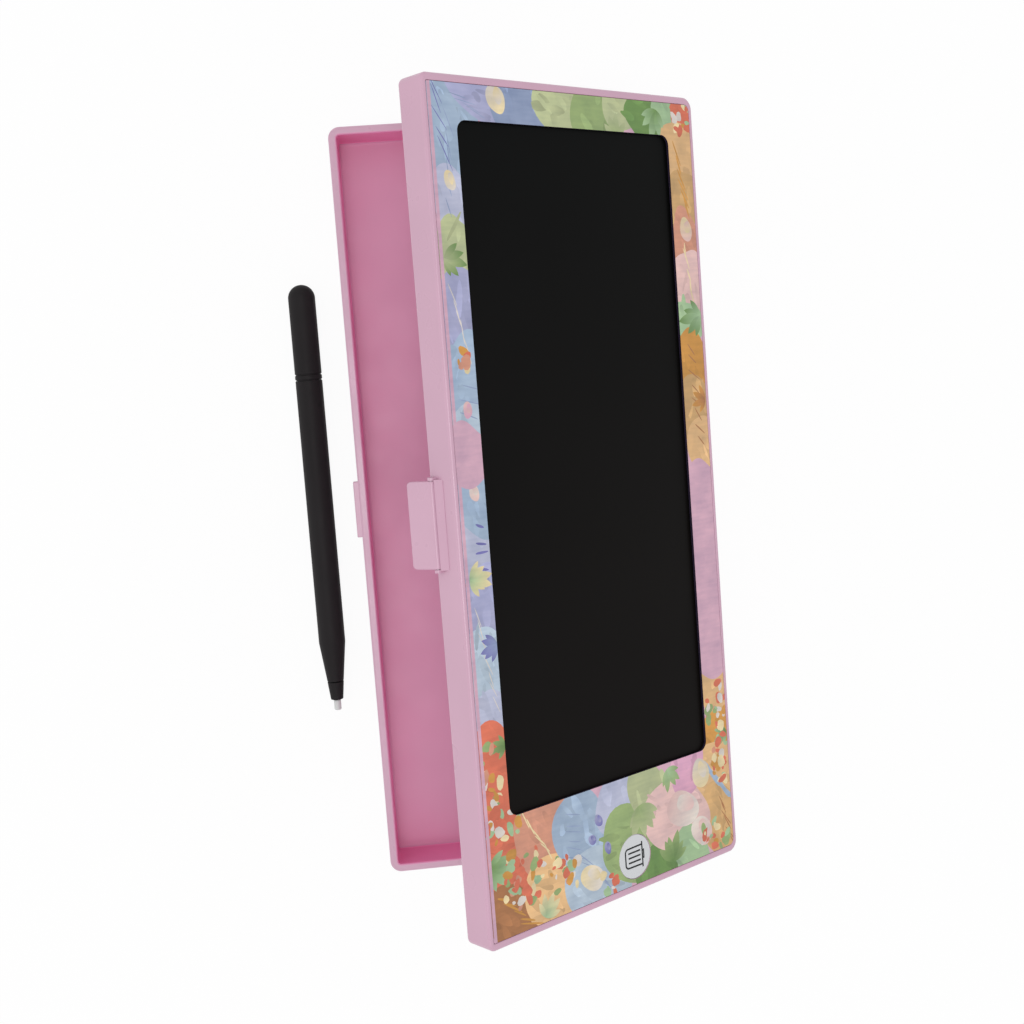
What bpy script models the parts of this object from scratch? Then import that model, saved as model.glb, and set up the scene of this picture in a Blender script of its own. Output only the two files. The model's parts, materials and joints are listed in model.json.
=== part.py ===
"""A pencil case whose lid holds an LCD writing tablet, lying half open, with its stylus beside it.

The origin is the centre of the tray's underside. +X runs along the case towards the erase
button, +Y from the latch to the hinge, and +Z is up. Named sizes are in millimetres.
Pieces of the lid are written in lid coordinates, those of the closed lid: x and y are as
above, and z starts at the lid's underside. An empty on the hinge's axis then opens the lid.
"""
from collections import namedtuple
import math

import bmesh
import bpy
from mathutils import Matrix, Vector

MM = 0.001

# Whole case. Its length and width follow from the screen window and what surrounds it
CORNER_RADIUS = 3.5
LID_FRONT_RADIUS = 1.0
EDGE_ROUNDING = 0.6
SEAT_GAP = 0.3
SOLDER_GAP = 0.1
CUT_OVERRUN = 1.0
JOIN_DEPTH = 0.8

# Tray, a little smaller all round than the lid
TRAY_HEIGHT = 18.0
TRAY_STEP = 0.2
TRAY_WALL = 2.3
TRAY_FLOOR = 2.0
FLOOR_FILLET = 1.2

# Catch lug on the tray's front wall
LUG_LENGTH = 17.5
LUG_REACH = 1.3
LUG_HEIGHT = 2.8
LUG_DROP = 0.4
LUG_ROUNDING = 0.25

# Hinge at the back of the case, in two places
HINGE_END_MARGIN = 42.5
HINGE_PIN_RADIUS = 0.8
PIN_CLEARANCE = 0.25
PIN_INSET = 0.4
KNUCKLE_WALL = 1.05
KNUCKLE_BACK_GAP = 0.4
LID_KNUCKLE_LENGTH = 14.0
TRAY_KNUCKLE_LENGTH = 8.0
KNUCKLE_GAP = 0.4
KNUCKLE_WEB = 1.6

# Lid
LID_OPENING = math.radians(36.6)
LID_GAP = 0.3
LID_WALL = 1.4
LEDGE_THICKNESS = 1.2

# Printed panel and its tape
PANEL_THICKNESS = 0.8
PANEL_DROP = 0.2
TAPE_THICKNESS = 0.3
TAPE_INSET = 0.5

# Screen window, with its margin to the case's tail end
SCREEN_LENGTH = 188.0
SCREEN_WIDTH = 81.7
SCREEN_TAIL_MARGIN = 11.7
SCREEN_RADIUS = 3.0

# Writing film and the board behind it, with the room from them to the bosses at the front and back
FILM_OVERLAP = 2.0
FILM_THICKNESS = 0.8
FILM_CLEARANCE = 0.5
FILM_FRONT_ROOM = 1.9
FILM_BACK_ROOM = 2.6
BOARD_THICKNESS = 1.2

# Inner cover, with ribs that carry the backing board
COVER_DROP = 0.2
COVER_THICKNESS = 1.6
RIB_THICKNESS = 1.6
RIB_INSET = 6.0
CROSS_RIBS = 4

# Cover screws and the bosses that they enter
BOSS_WALL = 1.3
BOSS_END_INSET = 8.0
BOSS_ROOF = 0.5
COVER_EDGE_WALL = 0.6
SCREW_HEAD_RADIUS = 1.7
SCREW_HEAD_HEIGHT = 0.8
SCREW_SHANK_RADIUS = 1.0
SCREW_HOLE_CLEARANCE = 0.3
SCREW_TIP_GAP = 0.5
SCREW_TIP_SHARE = 0.4

# Erase button, placed from the front face and from the panel's edge at the button end
BUTTON_RADIUS = 6.65
BUTTON_PANEL_MARGIN = 2.35
BUTTON_FRONT_MARGIN = 57.9
BUTTON_SIDE_GAP = 0.3
BUTTON_EDGE = 0.3
BUTTON_FLANGE_REACH = 1.25
BUTTON_FLANGE_THICKNESS = 0.8
BUTTON_STEM_RADIUS = 1.6
BUTTON_STEM_LENGTH = 0.3
FLANGE_CLEARANCE = 0.6

# Battery bay, whose door is placed from the front face and from the button end of the case
CELL_RADIUS = 10.0
CELL_THICKNESS = 1.6
CELL_EDGE = 0.3
CELL_SIDE_GAP = 0.5
CELL_SCREW_WALL = 1.9
BAY_WALL = 1.5
BAY_HEADROOM = 1.3
DOOR_END_MARGIN = 5.0
DOOR_FRONT_MARGIN = 12.25
DOOR_THICKNESS = 1.0
DOOR_RADIUS = 2.0
DOOR_SIDE_MARGIN = 2.0
DOOR_CELL_MARGIN = 1.5
DOOR_SCREW_MARGIN = 3.8

# Battery contacts, bent from spring strip
CONTACT_THICKNESS = 0.25
CONTACT_WIDTH = 4.0
CONTACT_FOOT = 3.5
CONTACT_SLOPE = 5.0
CONTACT_TIP = 3.0
CONTACT_TIP_OVERHANG = 5.5
CLIP_FOOT = 1.5
CLIP_SIDE_GAP = 0.5
CLIP_CELL_GAP = 0.2
CLIP_BACK_GAP = 0.3

# Circuit board, in the button end, reaching past the cell at the front and the button at the back
PCB_LENGTH = 24.0
PCB_THICKNESS = 1.0
PCB_FILM_ROOM = 5.3
PCB_END_MARGIN = 4.0
PCB_CELL_REACH = 15.0
PCB_BUTTON_REACH = 15.1
PCB_RADIUS = 1.0
PCB_POST_RADIUS = 2.2
PCB_SCREW_INSET = 3.5
CHIP_LENGTH = 4.0
CHIP_WIDTH = 5.0
CHIP_HEIGHT = 1.4
CHIP_FROM_BUTTON = 13.5

# Push switch under the erase button
SWITCH_SIDE = 6.0
SWITCH_HEIGHT = 1.6
PLUNGER_RADIUS = 1.5
PLUNGER_PROUD = 0.5
PLUNGER_SINK = 0.6
PLUNGER_CLEARANCE = 0.3
PLUNGER_RUN = 0.5

# Flexible tail from the film to the circuit board
TAIL_THICKNESS = 0.25
TAIL_WIDTH = 8.0
TAIL_REACH = 2.4
TAIL_DROP_RUN = 1.6
TAIL_LANDING = 2.5
TAIL_CLEARANCE = 1.0

# Latch on the lid's front face, with a pocket for the lug and a round knuckle on its pin
LATCH_SWING = math.radians(20.0)
LATCH_PIVOT_UP = 2.6
LATCH_CHEEK = 2.7
LATCH_SKIN = 0.65
LATCH_LIP = 1.3
LATCH_BACK_GAP = 0.35
LATCH_ROUNDING = 0.45
LATCH_RECESS_DEPTH = 0.12
LATCH_RECESS_RISE = 3.8
LATCH_SIDE_GAP = 0.25
LATCH_PIN_RADIUS = 0.45
LATCH_PIN_CLEARANCE = 0.15
EAR_THICKNESS = 0.9
EAR_SETBACK = 0.1
EAR_WALL = 0.35
POCKET_SIDE_GAP = 0.45
POCKET_TOP_GAP = 0.4

# Stylus, lying on the table in front of the case, from its tail to its tip
STYLUS_RADIUS = 4.25
STYLUS_FRONT_GAP = 8.6
STYLUS_END_MARGIN = 46.0
STYLUS_CAP_LENGTH = 28.2
STYLUS_RING_LENGTH = 1.4
STYLUS_JOINT_GAP = 0.3
STYLUS_STRAIGHT_LENGTH = 84.6
STYLUS_TAPER_LENGTH = 12.8
STYLUS_SEAM_RADIUS = 2.65
STYLUS_NOSE_LENGTH = 5.8
STYLUS_NOSE_RADIUS = 2.0
STYLUS_NIB_RADIUS = 1.15
STYLUS_NIB_LENGTH = 3.3
STYLUS_WALL = 1.35
STYLUS_FRONT_WALL = 1.15
STYLUS_SPIGOT_LENGTH = 6.0
STYLUS_NIB_SHANK_RADIUS = 0.6
STYLUS_NIB_SHANK_LENGTH = 4.0
NIB_ROUNDING = 0.4

# Points nearer than this are one, and faces turned by less than this lie in one plane
WELD = 0.01
SAME_PLANE = math.radians(0.1)

# Counts of facets
CORNER_STEPS = 6
ROUND_STEPS = 24
FINE_ROUND_STEPS = 40
DOME_STEPS = 8

# Colours, as red, green and blue out of 255
PINK = (212, 158, 186)
DEEP_PINK = (206, 146, 178)
PRINT_BLUE = (168, 186, 206)
SCREEN_BLACK = (26, 26, 25)
STYLUS_BLACK = (34, 34, 35)
WARM_GREY = (196, 194, 194)
BUTTON_WHITE = (212, 214, 216)
TAPE_WHITE = (225, 225, 218)
BOARD_GREY = (120, 122, 126)
PCB_GREEN = (24, 92, 60)
CHIP_BLACK = (20, 20, 22)
STEEL = (176, 178, 182)
COPPER_FILM = (196, 132, 58)

Frame = namedtuple("Frame", "empty origin")

# Radii and lengths that follow from the sizes above
SCREW_HOLE_RADIUS = SCREW_SHANK_RADIUS + SCREW_HOLE_CLEARANCE
SCREW_HEAD_HOLE_RADIUS = SCREW_HEAD_RADIUS + SCREW_HOLE_CLEARANCE
BOSS_RADIUS = SCREW_HOLE_RADIUS + BOSS_WALL
BOSS_INSET = LID_WALL + SEAT_GAP + COVER_EDGE_WALL + SCREW_HEAD_HOLE_RADIUS
SCREEN_FRONT_MARGIN = BOSS_INSET + BOSS_RADIUS + FILM_FRONT_ROOM + FILM_OVERLAP
SCREEN_BACK_MARGIN = BOSS_INSET + BOSS_RADIUS + FILM_BACK_ROOM + FILM_OVERLAP
SCREEN_BUTTON_MARGIN = FILM_OVERLAP + PCB_FILM_ROOM + PCB_LENGTH + PCB_END_MARGIN
CASE_LENGTH = SCREEN_TAIL_MARGIN + SCREEN_LENGTH + SCREEN_BUTTON_MARGIN
CASE_WIDTH = SCREEN_FRONT_MARGIN + SCREEN_WIDTH + SCREEN_BACK_MARGIN
KNUCKLE_RADIUS = HINGE_PIN_RADIUS + PIN_CLEARANCE + KNUCKLE_WALL
DOOR_WIDTH = 2 * (CELL_RADIUS + DOOR_SIDE_MARGIN)
DOOR_SCREW_OFFSET = CELL_RADIUS + CELL_SIDE_GAP + CELL_SCREW_WALL + SCREW_HOLE_RADIUS
STYLUS_BORE_RADIUS = STYLUS_RADIUS - STYLUS_WALL
STYLUS_FRONT_BORE_RADIUS = STYLUS_SEAM_RADIUS - STYLUS_FRONT_WALL

# Heights in the lid, from the cover up through the cell, the board, the switch and the button
COVER_TOP = COVER_DROP + COVER_THICKNESS
DOOR_TOP = COVER_DROP + DOOR_THICKNESS
DOOR_SEAT = DOOR_TOP + SEAT_GAP
CELL_BOTTOM = DOOR_SEAT
CELL_TOP = CELL_BOTTOM + CELL_THICKNESS
BAY_TOP = CELL_TOP + BAY_HEADROOM
PCB_BOTTOM = BAY_TOP + SEAT_GAP
PCB_TOP = PCB_BOTTOM + PCB_THICKNESS
SWITCH_BOTTOM = PCB_TOP + SOLDER_GAP
SWITCH_TOP = SWITCH_BOTTOM + SWITCH_HEIGHT
PLUNGER_BOTTOM = SWITCH_TOP - PLUNGER_SINK
PLUNGER_TOP = SWITCH_TOP + PLUNGER_PROUD
STEM_BOTTOM = PLUNGER_TOP + SOLDER_GAP
FLANGE_BOTTOM = STEM_BOTTOM + BUTTON_STEM_LENGTH
FLANGE_TOP = FLANGE_BOTTOM + BUTTON_FLANGE_THICKNESS
PANEL_BOTTOM = FLANGE_TOP + SEAT_GAP
PANEL_TOP = PANEL_BOTTOM + PANEL_THICKNESS
LID_THICKNESS = PANEL_TOP + PANEL_DROP

# Heights from the panel down through the tape, the ledge, the film and its board
TAPE_TOP = PANEL_BOTTOM - SOLDER_GAP
TAPE_BOTTOM = TAPE_TOP - TAPE_THICKNESS
LEDGE_TOP = TAPE_BOTTOM - SOLDER_GAP
LEDGE_BOTTOM = LEDGE_TOP - LEDGE_THICKNESS
FILM_TOP = PANEL_BOTTOM - SEAT_GAP
FILM_BOTTOM = FILM_TOP - FILM_THICKNESS
BOARD_TOP = FILM_BOTTOM - SEAT_GAP
BOARD_BOTTOM = BOARD_TOP - BOARD_THICKNESS
RIB_TOP = BOARD_BOTTOM - SEAT_GAP
BOSS_BOTTOM = COVER_TOP + SEAT_GAP

# Places of the case and the hinge
RIM = TRAY_HEIGHT
FRONT = -CASE_WIDTH / 2
BACK = CASE_WIDTH / 2
TAIL_END = -CASE_LENGTH / 2
BUTTON_END = CASE_LENGTH / 2
HINGE_X = CASE_LENGTH / 2 - HINGE_END_MARGIN
HINGE_Y = BACK + KNUCKLE_RADIUS + KNUCKLE_BACK_GAP
HINGE_Z = RIM + LID_GAP / 2
LID_UNDERSIDE = RIM + LID_GAP
HINGE_IN_LID = Vector((0, HINGE_Y, HINGE_Z - LID_UNDERSIDE))

# Places in the lid
SCREEN_X = (TAIL_END + SCREEN_TAIL_MARGIN, TAIL_END + SCREEN_TAIL_MARGIN + SCREEN_LENGTH)
SCREEN_Y = (FRONT + SCREEN_FRONT_MARGIN, FRONT + SCREEN_FRONT_MARGIN + SCREEN_WIDTH)
FILM_X = (SCREEN_X[0] - FILM_OVERLAP, SCREEN_X[1] + FILM_OVERLAP)
FILM_Y = (SCREEN_Y[0] - FILM_OVERLAP, SCREEN_Y[1] + FILM_OVERLAP)
BOSS_X = CASE_LENGTH / 2 - BOSS_END_INSET
BOSS_Y = CASE_WIDTH / 2 - BOSS_INSET
BOSS_PLACES = [(x, y) for x in (-BOSS_X, 0, BOSS_X) for y in (-BOSS_Y, BOSS_Y)]
BUTTON_X = BUTTON_END - LID_WALL - SEAT_GAP - BUTTON_PANEL_MARGIN - BUTTON_RADIUS
BUTTON_Y = FRONT + BUTTON_FRONT_MARGIN
DOOR_X = (BUTTON_END - DOOR_END_MARGIN - DOOR_WIDTH, BUTTON_END - DOOR_END_MARGIN)
DOOR_SCREW_Y = FRONT + DOOR_FRONT_MARGIN + DOOR_SCREW_MARGIN
CELL_X = (DOOR_X[0] + DOOR_X[1]) / 2
CELL_Y = DOOR_SCREW_Y + DOOR_SCREW_OFFSET
DOOR_Y = (FRONT + DOOR_FRONT_MARGIN, CELL_Y + CELL_RADIUS + DOOR_CELL_MARGIN)
PCB_X = (BUTTON_END - PCB_END_MARGIN - PCB_LENGTH, BUTTON_END - PCB_END_MARGIN)
PCB_Y = (CELL_Y - PCB_CELL_REACH, BUTTON_Y + PCB_BUTTON_REACH)
PCB_SCREWS = (
    (PCB_X[0] + PCB_SCREW_INSET, PCB_Y[1] - PCB_SCREW_INSET),
    (PCB_X[1] - PCB_SCREW_INSET, PCB_Y[1] - PCB_SCREW_INSET),
)

# The latch, which takes its size from the lug
LATCH_LENGTH = LUG_LENGTH + 2 * (POCKET_SIDE_GAP + LATCH_CHEEK)
LATCH_OUTER = FRONT - LUG_REACH - SEAT_GAP - LATCH_SKIN
LATCH_INNER = FRONT - LATCH_BACK_GAP
LATCH_THICKNESS = LATCH_INNER - LATCH_OUTER
LATCH_PIVOT = Vector((0, (LATCH_OUTER + LATCH_INNER) / 2, LATCH_PIVOT_UP))
LATCH_PIN_HOLE = LATCH_PIN_RADIUS + LATCH_PIN_CLEARANCE
LUG_TOP = RIM - LUG_DROP
LUG_BOTTOM = LUG_TOP - LUG_HEIGHT
LATCH_TIP = LUG_BOTTOM - LATCH_LIP - LID_UNDERSIDE
EAR_RADIUS = LATCH_PIN_HOLE + EAR_WALL
EAR_INNER = LATCH_LENGTH / 2 + LATCH_SIDE_GAP + EAR_SETBACK
EAR_OUTER = EAR_INNER + EAR_THICKNESS


def collection(name):
    """A new collection in the scene."""
    made = bpy.data.collections.new(name)
    bpy.context.scene.collection.children.link(made)
    return made


def linear(value):
    """One colour value out of 255, as linear light."""
    share = value / 255
    if share <= 0.04045:
        return share / 12.92
    return ((share + 0.055) / 1.055) ** 2.4


def finish(piece, colour, roughness, metallic=0.0):
    """Give a piece its own material."""
    material = bpy.data.materials.new(piece.name)
    material.use_nodes = True
    shader = material.node_tree.nodes["Principled BSDF"]
    shader.inputs["Base Color"].default_value = (*[linear(value) for value in colour], 1.0)
    shader.inputs["Roughness"].default_value = roughness
    shader.inputs["Metallic"].default_value = metallic
    piece.data.materials.clear()
    piece.data.materials.append(material)
    return piece


def place(piece, frame, centre=(0, 0, 0)):
    """Put a piece, written about centre, where its frame says."""
    piece.parent = frame.empty
    piece.location = (Vector(centre) - frame.origin) * MM
    return piece


def pivot(name, parent, point, turn=0.0):
    """A frame on a joint's axis, turned about X. The point is in the parent's coordinates."""
    empty = bpy.data.objects.new(name, None)
    PARTS.objects.link(empty)
    empty.empty_display_size = KNUCKLE_RADIUS * MM
    empty.parent = parent.empty
    empty.location = (Vector(point) - parent.origin) * MM
    empty.rotation_euler.x = turn
    return Frame(empty, Vector(point))


def mesh_object(name, shape, home):
    """Turn a bmesh into an object."""
    mesh = bpy.data.meshes.new(name)
    shape.to_mesh(mesh)
    shape.free()
    made = bpy.data.objects.new(name, mesh)
    home.objects.link(made)
    return made


def add_block(shape, low, high):
    """A box between two corners."""
    low, high = Vector(low) * MM, Vector(high) * MM
    place_at = Matrix.Translation((low + high) / 2)
    bmesh.ops.create_cube(shape, size=1.0, matrix=place_at @ Matrix.Diagonal((*(high - low), 1.0)))


def add_rod(shape, axis, centre, radius, low, high, steps=ROUND_STEPS):
    """A cylinder along X or Z from low to high, with its axis through centre."""
    middle = Vector(centre)
    middle["XYZ".index(axis)] = (low + high) / 2
    turn = Matrix.Rotation(math.pi / 2, 4, "Y") if axis == "X" else Matrix.Identity(4)
    bmesh.ops.create_cone(
        shape, cap_ends=True, segments=steps, radius1=radius * MM, radius2=radius * MM,
        depth=(high - low) * MM, matrix=Matrix.Translation(middle * MM) @ turn)


def block(name, low, high, home=None):
    """An object that is one box."""
    shape = bmesh.new()
    add_block(shape, low, high)
    return mesh_object(name, shape, home or PARTS)


def rod(name, axis, centre, radius, low, high):
    """An object that is one cylinder."""
    shape = bmesh.new()
    add_rod(shape, axis, centre, radius, low, high)
    return smooth(mesh_object(name, shape, PARTS))


def smooth(piece):
    """Shade a piece smooth across its shallow edges."""
    piece.data.shade_smooth()
    piece.data.set_sharp_from_angle(angle=math.radians(35))
    return piece


def arc(centre, radius, start, turn, steps):
    """Points on an arc, with angles in quarter turns."""
    angles = [(start + turn * step / steps) * math.pi / 2 for step in range(steps + 1)]
    return [(centre[0] + radius * math.cos(a), centre[1] + radius * math.sin(a)) for a in angles]


def rounded(x_range, y_range, radius, front_radius=None):
    """The outline of a rectangle with round corners. Those at the front may have their own radius."""
    front = radius if front_radius is None else front_radius
    corners = (
        (x_range[1] - radius, y_range[1] - radius, radius),
        (x_range[0] + radius, y_range[1] - radius, radius),
        (x_range[0] + front, y_range[0] + front, front),
        (x_range[1] - front, y_range[0] + front, front),
    )
    return [point for quarter, (x, y, size) in enumerate(corners)
            for point in arc((x, y), size, quarter, 1, CORNER_STEPS)]


def round_outline(centre, radius):
    """The outline of a circle."""
    return arc(centre, radius, 0, 4, FINE_ROUND_STEPS)[:-1]


def case_outline(inset, front_radius):
    """The outline of the case, moved in by an inset."""
    half_length = CASE_LENGTH / 2 - inset
    half_width = CASE_WIDTH / 2 - inset
    radius = max(CORNER_RADIUS - inset, EDGE_ROUNDING)
    front = max(front_radius - inset, EDGE_ROUNDING)
    return rounded((-half_length, half_length), (-half_width, half_width), radius, front)


def tray_outline(inset):
    """The outline of the tray, moved in by an inset."""
    return case_outline(TRAY_STEP + inset, CORNER_RADIUS)


def lid_outline(inset):
    """The outline of the lid, whose front corners are sharper, moved in by an inset."""
    return case_outline(inset, LID_FRONT_RADIUS)


def film_outline(clearance):
    """The outline of the writing film, moved out by a clearance."""
    x_range = (FILM_X[0] - clearance, FILM_X[1] + clearance)
    y_range = (FILM_Y[0] - clearance, FILM_Y[1] + clearance)
    return rounded(x_range, y_range, EDGE_ROUNDING + clearance)


def flat(name, outlines, low, high, plane="XY", home=None):
    """A flat outline, with holes if it has more than one ring, from low to high across its plane."""
    curve = bpy.data.curves.new(name, "CURVE")
    curve.dimensions = "2D"
    curve.fill_mode = "BOTH"
    curve.extrude = (high - low) / 2 * MM
    for outline in outlines:
        spline = curve.splines.new("POLY")
        spline.points.add(len(outline) - 1)
        for point, (u, v) in zip(spline.points, outline):
            point.co = (u * MM, v * MM, 0, 1)
        spline.use_cyclic_u = True
    holder = bpy.data.objects.new(name, curve)
    PARTS.objects.link(holder)
    view = bpy.context.evaluated_depsgraph_get()
    mesh = bpy.data.meshes.new_from_object(holder.evaluated_get(view))
    bpy.data.objects.remove(holder)
    shape = bmesh.new()
    shape.from_mesh(mesh)
    bpy.data.meshes.remove(mesh)
    bmesh.ops.remove_doubles(shape, verts=shape.verts, dist=WELD * MM)
    bmesh.ops.dissolve_limit(shape, angle_limit=SAME_PLANE, verts=shape.verts, edges=shape.edges)
    across = Vector((0, 0, (low + high) / 2 * MM))
    for vertex in shape.verts:
        u, v, w = vertex.co + across
        vertex.co = {"XY": (u, v, w), "XZ": (u, w, v), "YZ": (w, u, v)}[plane]
    bmesh.ops.recalc_face_normals(shape, faces=shape.faces)
    if shape.calc_volume(signed=True) < 0:
        bmesh.ops.reverse_faces(shape, faces=shape.faces)
    return mesh_object(name, shape, home or PARTS)


def turned(name, profile, steps=ROUND_STEPS):
    """A shape turned about Z from a profile of radius and height, top to bottom."""
    mesh = bpy.data.meshes.new(name)
    points = [(radius * MM, 0, height * MM) for radius, height in profile]
    count = len(points)
    closed = profile[0][0] > 0
    edges = [(index, (index + 1) % count) for index in range(count if closed else count - 1)]
    mesh.from_pydata(points, edges, [])
    made = bpy.data.objects.new(name, mesh)
    PARTS.objects.link(made)
    screw = made.modifiers.new("turn", "SCREW")
    screw.steps = steps
    screw.render_steps = steps
    screw.use_merge_vertices = True
    screw.merge_threshold = WELD * MM
    screw.use_smooth_shade = False
    return made


def bevel(piece, width, segments=2):
    """Round the sharp edges of a piece."""
    modifier = piece.modifiers.new("rounding", "BEVEL")
    modifier.width = width * MM
    modifier.segments = segments
    modifier.limit_method = "ANGLE"
    modifier.angle_limit = math.radians(60)
    return piece


def combine(piece, tool, operation):
    """Cut a tool out of a piece, or join it on. The tool shares the piece's frame."""
    tool.parent = piece.parent
    tool.location = piece.location
    tool.hide_render = True
    tool.display_type = "WIRE"
    modifier = piece.modifiers.new(tool.name, "BOOLEAN")
    modifier.operation = operation
    modifier.solver = "EXACT"
    modifier.object = tool


def tool_of(name, *additions):
    """A tool made of several simple shapes that don't touch."""
    shape = bmesh.new()
    for add, arguments in additions:
        add(shape, *arguments)
    return mesh_object(name, shape, TOOLS)


def hinge_stations():
    """The middle of each hinge along the case."""
    return (-HINGE_X, HINGE_X)


def tray_knuckle_spans():
    """Where the tray's four knuckles start and end along the case."""
    spans = []
    for middle in hinge_stations():
        near = LID_KNUCKLE_LENGTH / 2 + KNUCKLE_GAP
        spans.append((middle - near - TRAY_KNUCKLE_LENGTH, middle - near))
        spans.append((middle + near, middle + near + TRAY_KNUCKLE_LENGTH))
    return spans


def lid_knuckle_spans():
    """Where the lid's two knuckles start and end along the case."""
    half = LID_KNUCKLE_LENGTH / 2
    return [(middle - half, middle + half) for middle in hinge_stations()]


def join_knuckles(piece, spans, axis_z, web_low, web_high):
    """Join hinge knuckles to the back of a piece, each with a web to the wall, and bore them."""
    for number, (start, end) in enumerate(spans, 1):
        barrel = tool_of(f"{piece.name}_knuckle_{number}", (
            add_rod, ("X", (0, HINGE_Y, axis_z), KNUCKLE_RADIUS, start, end)))
        combine(piece, barrel, "UNION")
        web = tool_of(f"{piece.name}_web_{number}", (
            add_block, ((start, BACK - JOIN_DEPTH, web_low), (end, HINGE_Y, web_high))))
        combine(piece, web, "UNION")
    radius = HINGE_PIN_RADIUS + PIN_CLEARANCE
    bores = tool_of(f"{piece.name}_bores", *[
        (add_rod, ("X", (0, HINGE_Y, axis_z), radius, start - CUT_OVERRUN, end + CUT_OVERRUN))
        for start, end in bore_spans(spans)])
    combine(piece, bores, "DIFFERENCE")


def bore_spans(spans):
    """One bore for each hinge, through all the knuckles of a piece there."""
    count = len(spans) // 2
    return [(group[0][0], group[-1][1]) for group in (spans[:count], spans[count:])]


def make_tray():
    """The open tray, with its catch lug and the fixed half of the hinge."""
    tray = flat("tray_shell", [tray_outline(0)], 0, TRAY_HEIGHT)
    place(tray, TRAY)
    bevel(tray, EDGE_ROUNDING)
    hollow_top = RIM + FLOOR_FILLET + CUT_OVERRUN
    hollow = flat("tray_hollow", [tray_outline(TRAY_WALL)], TRAY_FLOOR, hollow_top, home=TOOLS)
    bevel(hollow, FLOOR_FILLET, 3)
    combine(tray, hollow, "DIFFERENCE")
    lug = tool_of("tray_lug", (add_block, (
        (-LUG_LENGTH / 2, FRONT - LUG_REACH, LUG_BOTTOM),
        (LUG_LENGTH / 2, FRONT + JOIN_DEPTH, LUG_TOP))))
    bevel(lug, LUG_ROUNDING)
    combine(tray, lug, "UNION")
    web_high = HINGE_Z - SEAT_GAP
    join_knuckles(tray, tray_knuckle_spans(), HINGE_Z, web_high - KNUCKLE_WEB, web_high)
    finish(tray, DEEP_PINK, 0.42)


def make_hinge_pins():
    """A steel pin through the knuckles of each hinge."""
    half = LID_KNUCKLE_LENGTH / 2 + KNUCKLE_GAP + TRAY_KNUCKLE_LENGTH - PIN_INSET
    for number, middle in enumerate(hinge_stations(), 1):
        pin = rod(f"hinge_pin_{number}", "X", (0, HINGE_Y, HINGE_Z), HINGE_PIN_RADIUS,
                  middle - half, middle + half)
        place(pin, TRAY)
        finish(pin, STEEL, 0.3, 1.0)


def make_lid_frame():
    """The lid's frame: walls, a ledge for the panel, screw bosses, knuckles and latch ears."""
    frame = flat("lid_frame", [lid_outline(0)], 0, LID_THICKNESS)
    place(frame, LID)
    bevel(frame, EDGE_ROUNDING)
    seat = flat("panel_seat", [lid_outline(LID_WALL)], LEDGE_TOP, LID_THICKNESS + CUT_OVERRUN, home=TOOLS)
    combine(frame, seat, "DIFFERENCE")
    inside = flat("lid_inside", [lid_outline(LID_WALL)], -CUT_OVERRUN, LEDGE_BOTTOM, home=TOOLS)
    combine(frame, inside, "DIFFERENCE")
    cut_ledge(frame)
    cut_latch_recess(frame)
    join_bosses(frame)
    web_low = HINGE_IN_LID.z + SEAT_GAP
    join_knuckles(frame, lid_knuckle_spans(), HINGE_IN_LID.z, web_low, web_low + KNUCKLE_WEB)
    join_ears(frame)
    finish(frame, PINK, 0.38)


def cut_ledge(frame):
    """Open the ledge for the film, the erase button and the film's tail."""
    low, high = LEDGE_BOTTOM - CUT_OVERRUN, LEDGE_TOP + CUT_OVERRUN
    opening = flat("film_opening", [film_outline(FILM_CLEARANCE)], low, high, home=TOOLS)
    combine(frame, opening, "DIFFERENCE")
    radius = BUTTON_RADIUS + BUTTON_FLANGE_REACH + FLANGE_CLEARANCE
    hole = tool_of("button_opening", (add_rod, (
        "Z", (BUTTON_X, BUTTON_Y, 0), radius, low, high, FINE_ROUND_STEPS)))
    combine(frame, hole, "DIFFERENCE")
    half = TAIL_WIDTH / 2 + TAIL_CLEARANCE
    start = FILM_X[1]
    end = start + SEAT_GAP + TAIL_REACH + TAIL_DROP_RUN + TAIL_CLEARANCE
    notch = tool_of("tail_notch", (add_block, (
        (start, tail_y() - half, low), (end, tail_y() + half, high))))
    combine(frame, notch, "DIFFERENCE")


def cut_latch_recess(frame):
    """A shallow recess behind the latch's knuckle."""
    half = LATCH_LENGTH / 2 + LATCH_SIDE_GAP
    recess = tool_of("latch_recess", (add_block, (
        (-half, FRONT - CUT_OVERRUN, -CUT_OVERRUN),
        (half, FRONT + LATCH_RECESS_DEPTH, LATCH_PIVOT.z + LATCH_RECESS_RISE))))
    combine(frame, recess, "DIFFERENCE")


def join_bosses(frame):
    """Bosses under the ledge, bored from below for the cover's screws."""
    bosses = tool_of("cover_bosses", *[
        (add_rod, ("Z", (x, y, 0), BOSS_RADIUS, BOSS_BOTTOM, LEDGE_TOP - BOSS_ROOF))
        for x, y in BOSS_PLACES])
    combine(frame, bosses, "UNION")
    bores = tool_of("cover_boss_bores", *[
        (add_rod, ("Z", (x, y, 0), SCREW_HOLE_RADIUS, BOSS_BOTTOM - CUT_OVERRUN, LEDGE_BOTTOM))
        for x, y in BOSS_PLACES])
    combine(frame, bores, "DIFFERENCE")


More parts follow.
